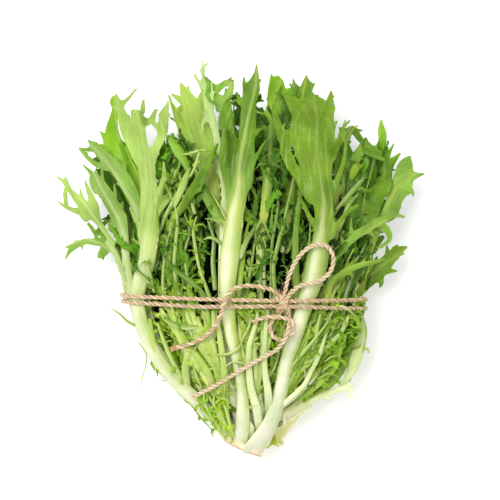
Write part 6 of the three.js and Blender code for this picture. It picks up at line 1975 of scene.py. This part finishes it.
# Tangles of curls near the surface: middle x, y and size across and along in pixels, how many millimetres
# deep below the outline, number, length and width in millimetres, how curly, and whether they are pale.
TANGLES = [
    (172, 262, 22, 38, 11, 40, 26, 2.3, 0.5, False),
    (208, 262, 26, 34, 11, 44, 26, 2.3, 0.5, False),
    (262, 262, 26, 36, 11, 30, 26, 2.2, 0.5, False),
    (186, 215, 30, 30, 11, 36, 26, 2.6, 0.5, False),
    (264, 200, 22, 34, 11, 28, 26, 2.6, 0.5, False),
    (300, 262, 24, 30, 9, 30, 23, 2.2, 0.5, False),
    (340, 262, 34, 34, 11, 69, 26, 2.4, 0.56, False),
    (352, 200, 34, 44, 11, 51, 26, 2.8, 0.56, False),
    (146, 270, 24, 30, 9, 30, 23, 2.4, 0.5, False),
    (176, 165, 22, 22, 11, 30, 21, 2.8, 0.56, False),
    (282, 160, 30, 36, 11, 34, 26, 2.6, 0.5, False),
    (262, 280, 40, 14, 6, 40, 9, 1.5, 1.6, False),
    (180, 285, 40, 14, 6, 40, 9, 1.6, 1.6, False),
    (186, 335, 40, 26, 8, 36, 22, 2.7, 0.7, True),
    (212, 370, 26, 30, 7, 34, 20, 2.6, 0.84, True),
    (262, 330, 30, 26, 7, 37, 20, 2.6, 0.77, True),
    (340, 345, 26, 36, 9, 96, 22, 2.2, 1.33, True),
    (352, 325, 16, 26, 14, 40, 20, 2, 1.4, True),
    (320, 360, 24, 28, 7, 45, 22, 2.3, 1.05, True),
    (302, 345, 16, 24, 7, 27, 20, 2.3, 0.91, True),
    (330, 388, 20, 14, 11, 27, 15, 2.3, 1.12, True),
    (222, 402, 13, 24, 1, 40, 13, 1.9, 1.2, True),
    (172, 372, 22, 22, 8, 24, 19, 2.7, 0.77, True),
    (285, 320, 20, 20, 7, 21, 18, 2.4, 0.91, True),
]


def add_tangles(shell, rng):
    """Short curly strips round the middle of each tangle, pointing towards the tips."""
    for x, y, across, along, depth, count, length, width, curl, pale in TANGLES:
        size = round(across * PIXEL), round(along * PIXEL)
        spread = rng.normal(0, 0.5, (count, 2)).clip(-1, 1) * size + from_photo(x, y, round)
        edge = 1.05 * outline_at(spread[:, 1])[0]
        spread[:, 0] = AXIS_X + np.clip(spread[:, 0] - AXIS_X, -edge, edge)
        down = rng.uniform(0, depth, count)
        top = surface_z(spread[:, 0], spread[:, 1]) - (4.0 if pale else 5.5)
        roots = np.column_stack([spread, top - down])
        lean = rng.normal(0, 0.3 + 0.25 * curl, count)
        heading = unit(np.column_stack([np.sin(lean), np.cos(lean), rng.normal(-0.03, 0.2, count)]))
        up = np.column_stack([rng.normal(0, 0.6, (count, 2)), np.ones(count)])
        plane = unit(np.cross(heading, np.cross(up, heading)))
        tint = some_of(PALES if pale else GREENS, rng, count, 0.75 if pale else 0.36)
        shown = np.maximum(smooth((roots[:, 1] - 30) / 35), smooth((np.abs(roots[:, 0] - AXIS_X) - 56) / 12))
        low_right = pale * smooth((roots[:, 0] - 34) / 12)
        tint = tint * mix(LOW_LEFT, LOW_RIGHT, low_right[:, None]) if pale else tint
        # Painted shade the deeper a tangle lies: least for the pale ones, more of it at the low right, and
        # for the green ones less where they show at the top and the sides.
        inside = 0.85 - 0.4 * low_right if pale else mix(0.07, 0.6, shown)
        tint = tint * mix(1.0, inside, smooth((down - 1) / 8))[:, None]
        tints = np.stack([tint * 0.85, tint], 1)
        long = length * rng.uniform(0.5, 1.3, count) * (1 - 0.5 * smooth((roots[:, 1] - 45) / 35))
        add_frills(shell, roots, heading, plane, long,
                   width * rng.uniform(0.6, 1.3, count), tints, rng, curl, between_sides)


def add_shade_core(shell):
    """A near-black body inside the head: painted shade that shows only as shadow between the curls."""
    rows, sides = 40, 48
    y = np.linspace(*CORE_ENDS, rows)
    around = circle(sides)
    half, middle, rise = outline_at(y)
    close = CORE_SHARE * np.clip(1.25 - np.maximum(0, y - TIE_Y) / 115, 0.06, 1)
    x = AXIS_X + mix(STUMP_X - AXIS_X, 0, smooth((y + 100) / 30))[:, None]
    x = x + (half * close)[:, None] * np.cos(around)
    z = middle[:, None] + (rise * close)[:, None] * np.sin(around)
    points = np.stack([x, np.repeat(y[:, None], sides, 1), z], 2).reshape(-1, 3)
    lumps = Waves(77, 16.0, 3)(points)[:, None]
    axis = np.column_stack([np.full(len(points), AXIS_X), points[:, 1], np.repeat(middle, sides)])
    points = axis + (points - axis) * (1 + CORE_LUMPS * lumps)
    # Painted shade: near black in the middle, lighter towards the stump and a little lighter near the tips.
    tint = mix(colour("6f942c"), colour("050e01"), smooth((points[:, 1] + 88) / 60)[:, None])
    tint = mix(tint, colour("1a3008"), smooth((points[:, 1] - 35) / 35)[:, None])
    ends = np.array([[STUMP_X, CORE_ENDS[0] - 1, STUMP_Z], [AXIS_X, CORE_ENDS[1] + 1, middle[-1]]])
    # The ring angle runs from x to z, which is clockwise about +y, so the faces are turned over.
    shell.add(np.vstack([points, ends]), tube_faces(rows, sides)[:, ::-1], np.vstack([tint, tint[[0, -1]]]))


def add_crown(shell, rng):
    """Curls that cover the far end of the core, where the heart's leaves end."""
    count = CROWN_CURLS
    away = np.sqrt(rng.uniform(0, 1, count))
    angle = rng.uniform(0, 2 * math.pi, count)
    half, middle, rise = outline_at(TIE_Y)
    out = np.column_stack([np.cos(angle), np.zeros(count), np.sin(angle)])
    x, z = AXIS_X + 0.5 * half * away * out[:, 0], middle + 0.5 * rise * away * out[:, 2]
    roots = np.column_stack([x, 70 - 36 * away**2 + rng.uniform(-4, 4, count), z])
    heading = unit((0, 1, 0) + out * (away[:, None] * 0.7) + rng.normal(0, 0.25, (count, 3)))
    plane = unit(np.cross(heading, np.cross(rng.normal(0, 1, (count, 3)), heading)))
    tint = some_of(GREENS, rng, count, 0.4)
    add_frills(shell, roots, heading, plane, rng.uniform(12, 32, count), rng.uniform(2.2, 4.6, count),
               np.stack([tint * 0.5, tint], 1), rng, 0.7)


def make_heart():
    """The inner leaves, in the place of the heart's solid."""
    rng = np.random.default_rng(17)
    curls, fringe, strands, tangle, core = (Shell() for _ in range(5))
    for k in range(INNER_LEAVES):
        away = math.sqrt((k + 6.5) / (INNER_LEAVES + 6)) * 0.93
        a, b = away * math.cos(k * GOLDEN_ANGLE), away * math.sin(k * GOLDEN_ANGLE)
        add_inner_leaf((curls, fringe)[k % 2], rng, a, b, rng.uniform(-15, 82) * (1 - 0.35 * abs(a)))
    add_shade_core(core)
    add_crown(fringe, rng)
    add_strands(strands, rng)
    add_tangles(tangle, rng)
    look = leaf_material("heart", 0.5, 0.05)
    for name, shell in (("curls", curls), ("fringe", fringe), ("strands", strands), ("tangle", tangle)):
        shell.build(f"heart_{name}", look, "heart", "heart")
    core.build("heart_painted_shade", leaf_material("heart_shade", 0.9, 0.0), "heart", "heart")


# ---- Stump ------------------------------------------------------------------------------------------

# Radius and y, from the middle of the cut face over its rim to where the stem narrows inside the head.
STUMP_PROFILE = [
    (0.5, -126.2), (5, -126.3), (10, -126.1), (12.2, -125.6), (13.1, -124.6), (13.4, -123.0), (13.1, -121.2),
    (12.4, -118), (11.2, -112), (10.2, -104), (8.6, -95), (6.0, -88), (2.5, -84)]
SLANT_STARTS_Y, SLANT_ENDS_Y = -119, -104.0  # between these the cut's slant fades out
FACE_Y = -125.5  # the cut face is below this
RIM_Y = -125.2  # where it is brownest
STUMP_SIDES = 56
STUMP_RIDGES = 7


def make_stump():
    """The stem with its slanted, browned cut face."""
    radius, y = catmull_rom(STUMP_PROFILE, 4).T
    around = circle(STUMP_SIDES)
    lumps = 1 + 0.035 * np.cos(STUMP_RIDGES * around + 0.6)[None] * smooth(radius / 12)[:, None]
    x = STUMP_X + radius[:, None] * lumps * np.cos(around)
    z = STUMP_Z + radius[:, None] * lumps * np.sin(around)
    slanted = np.clip((SLANT_ENDS_Y - y) / (SLANT_ENDS_Y - SLANT_STARTS_Y), 0, 1)
    rough = Waves(61, 6.0)
    level = y[:, None] + CUT_SLANT * (x - STUMP_X) * slanted[:, None]
    level = level + 0.25 * rough(np.stack([x, z], 2).reshape(-1, 2)).reshape(x.shape) * (y < -125)[:, None]
    points = np.stack([x, level, z], 2).reshape(-1, 3)
    face = (y < FACE_Y)[:, None] * np.ones(STUMP_SIDES)[None]
    flesh, dried, rim = colour("f6f3e0"), colour("ecd5a6"), colour("d9b57c")
    tints = mix(flesh, dried, face.reshape(-1, 1))
    browned = np.exp(-((y - RIM_Y) / 0.6) ** 2)
    tints = mix(tints, rim, np.repeat(browned, STUMP_SIDES)[:, None] * 0.8)
    dry = smooth((-113 - points[:, 1]) / 8) * smooth((STUMP_X + 2 - points[:, 0]) / 8)
    tints = mix(tints, dried, 0.7 * dry[:, None])
    ends = [(STUMP_X, STUMP_PROFILE[0][1], STUMP_Z), (STUMP_X, STUMP_PROFILE[-1][1], STUMP_Z)]
    shell = Shell()
    faces = tube_faces(len(y), STUMP_SIDES)
    # The ring angle runs from x to z, which is clockwise about +y, so the faces are turned over.
    shell.add(np.vstack([points, ends]), faces[:, ::-1], np.vstack([tints, [dried, flesh]]))
    shell.build("stump_cut", stump_material(), "stump", "stump")


# ---- Stage ------------------------------------------------------------------------------------------


FLOOR_HALF = 3.0
HEAD_CENTRE = Vector((0, 0, 0.03))  # what the lights point at
LIGHTS = [("key", (-0.45, 0.4, 1.7), 0.8, 25.0), ("fill", (0.9, -0.8, 1.4), 1.6, 7.0)]  # place, size, power
SKY_STRENGTH = 0.55


def make_stage():
    """A plain white floor, a soft sky and two large soft lights."""
    corners = [(x * FLOOR_HALF, y * FLOOR_HALF, 0) for x, y in ((-1, -1), (1, -1), (1, 1), (-1, 1))]
    mesh = bpy.data.meshes.new("floor")
    mesh.from_pydata(corners, [], [(0, 1, 2, 3)])
    look = Nodes("floor")
    mesh.materials.append(look.finish(Base_Color=(0.96, 0.96, 0.96, 1), Roughness=0.9,
                                      Emission_Color=(1, 1, 1, 1), Emission_Strength=0.25))
    linked("floor", mesh)
    world = bpy.data.worlds.new("sky")
    world.use_nodes = True
    sky = world.node_tree.nodes["Background"].inputs
    sky["Color"].default_value = (1, 1, 1, 1)
    sky["Strength"].default_value = SKY_STRENGTH
    bpy.context.scene.world = world
    for name, place, size, power in LIGHTS:
        data = bpy.data.lights.new(name, "AREA")
        data.size = size
        data.energy = power
        light = linked(name, data)
        light.location = place
        light.rotation_mode = "QUATERNION"
        light.rotation_quaternion = (HEAD_CENTRE - Vector(place)).to_track_quat("-Z", "Y")
    bpy.context.scene.view_settings.view_transform = "Standard"


# ---- The whole picture ------------------------------------------------------------------------------

make_camera()
make_cords()
make_leaves()
make_heart()
make_stump()
make_stage()
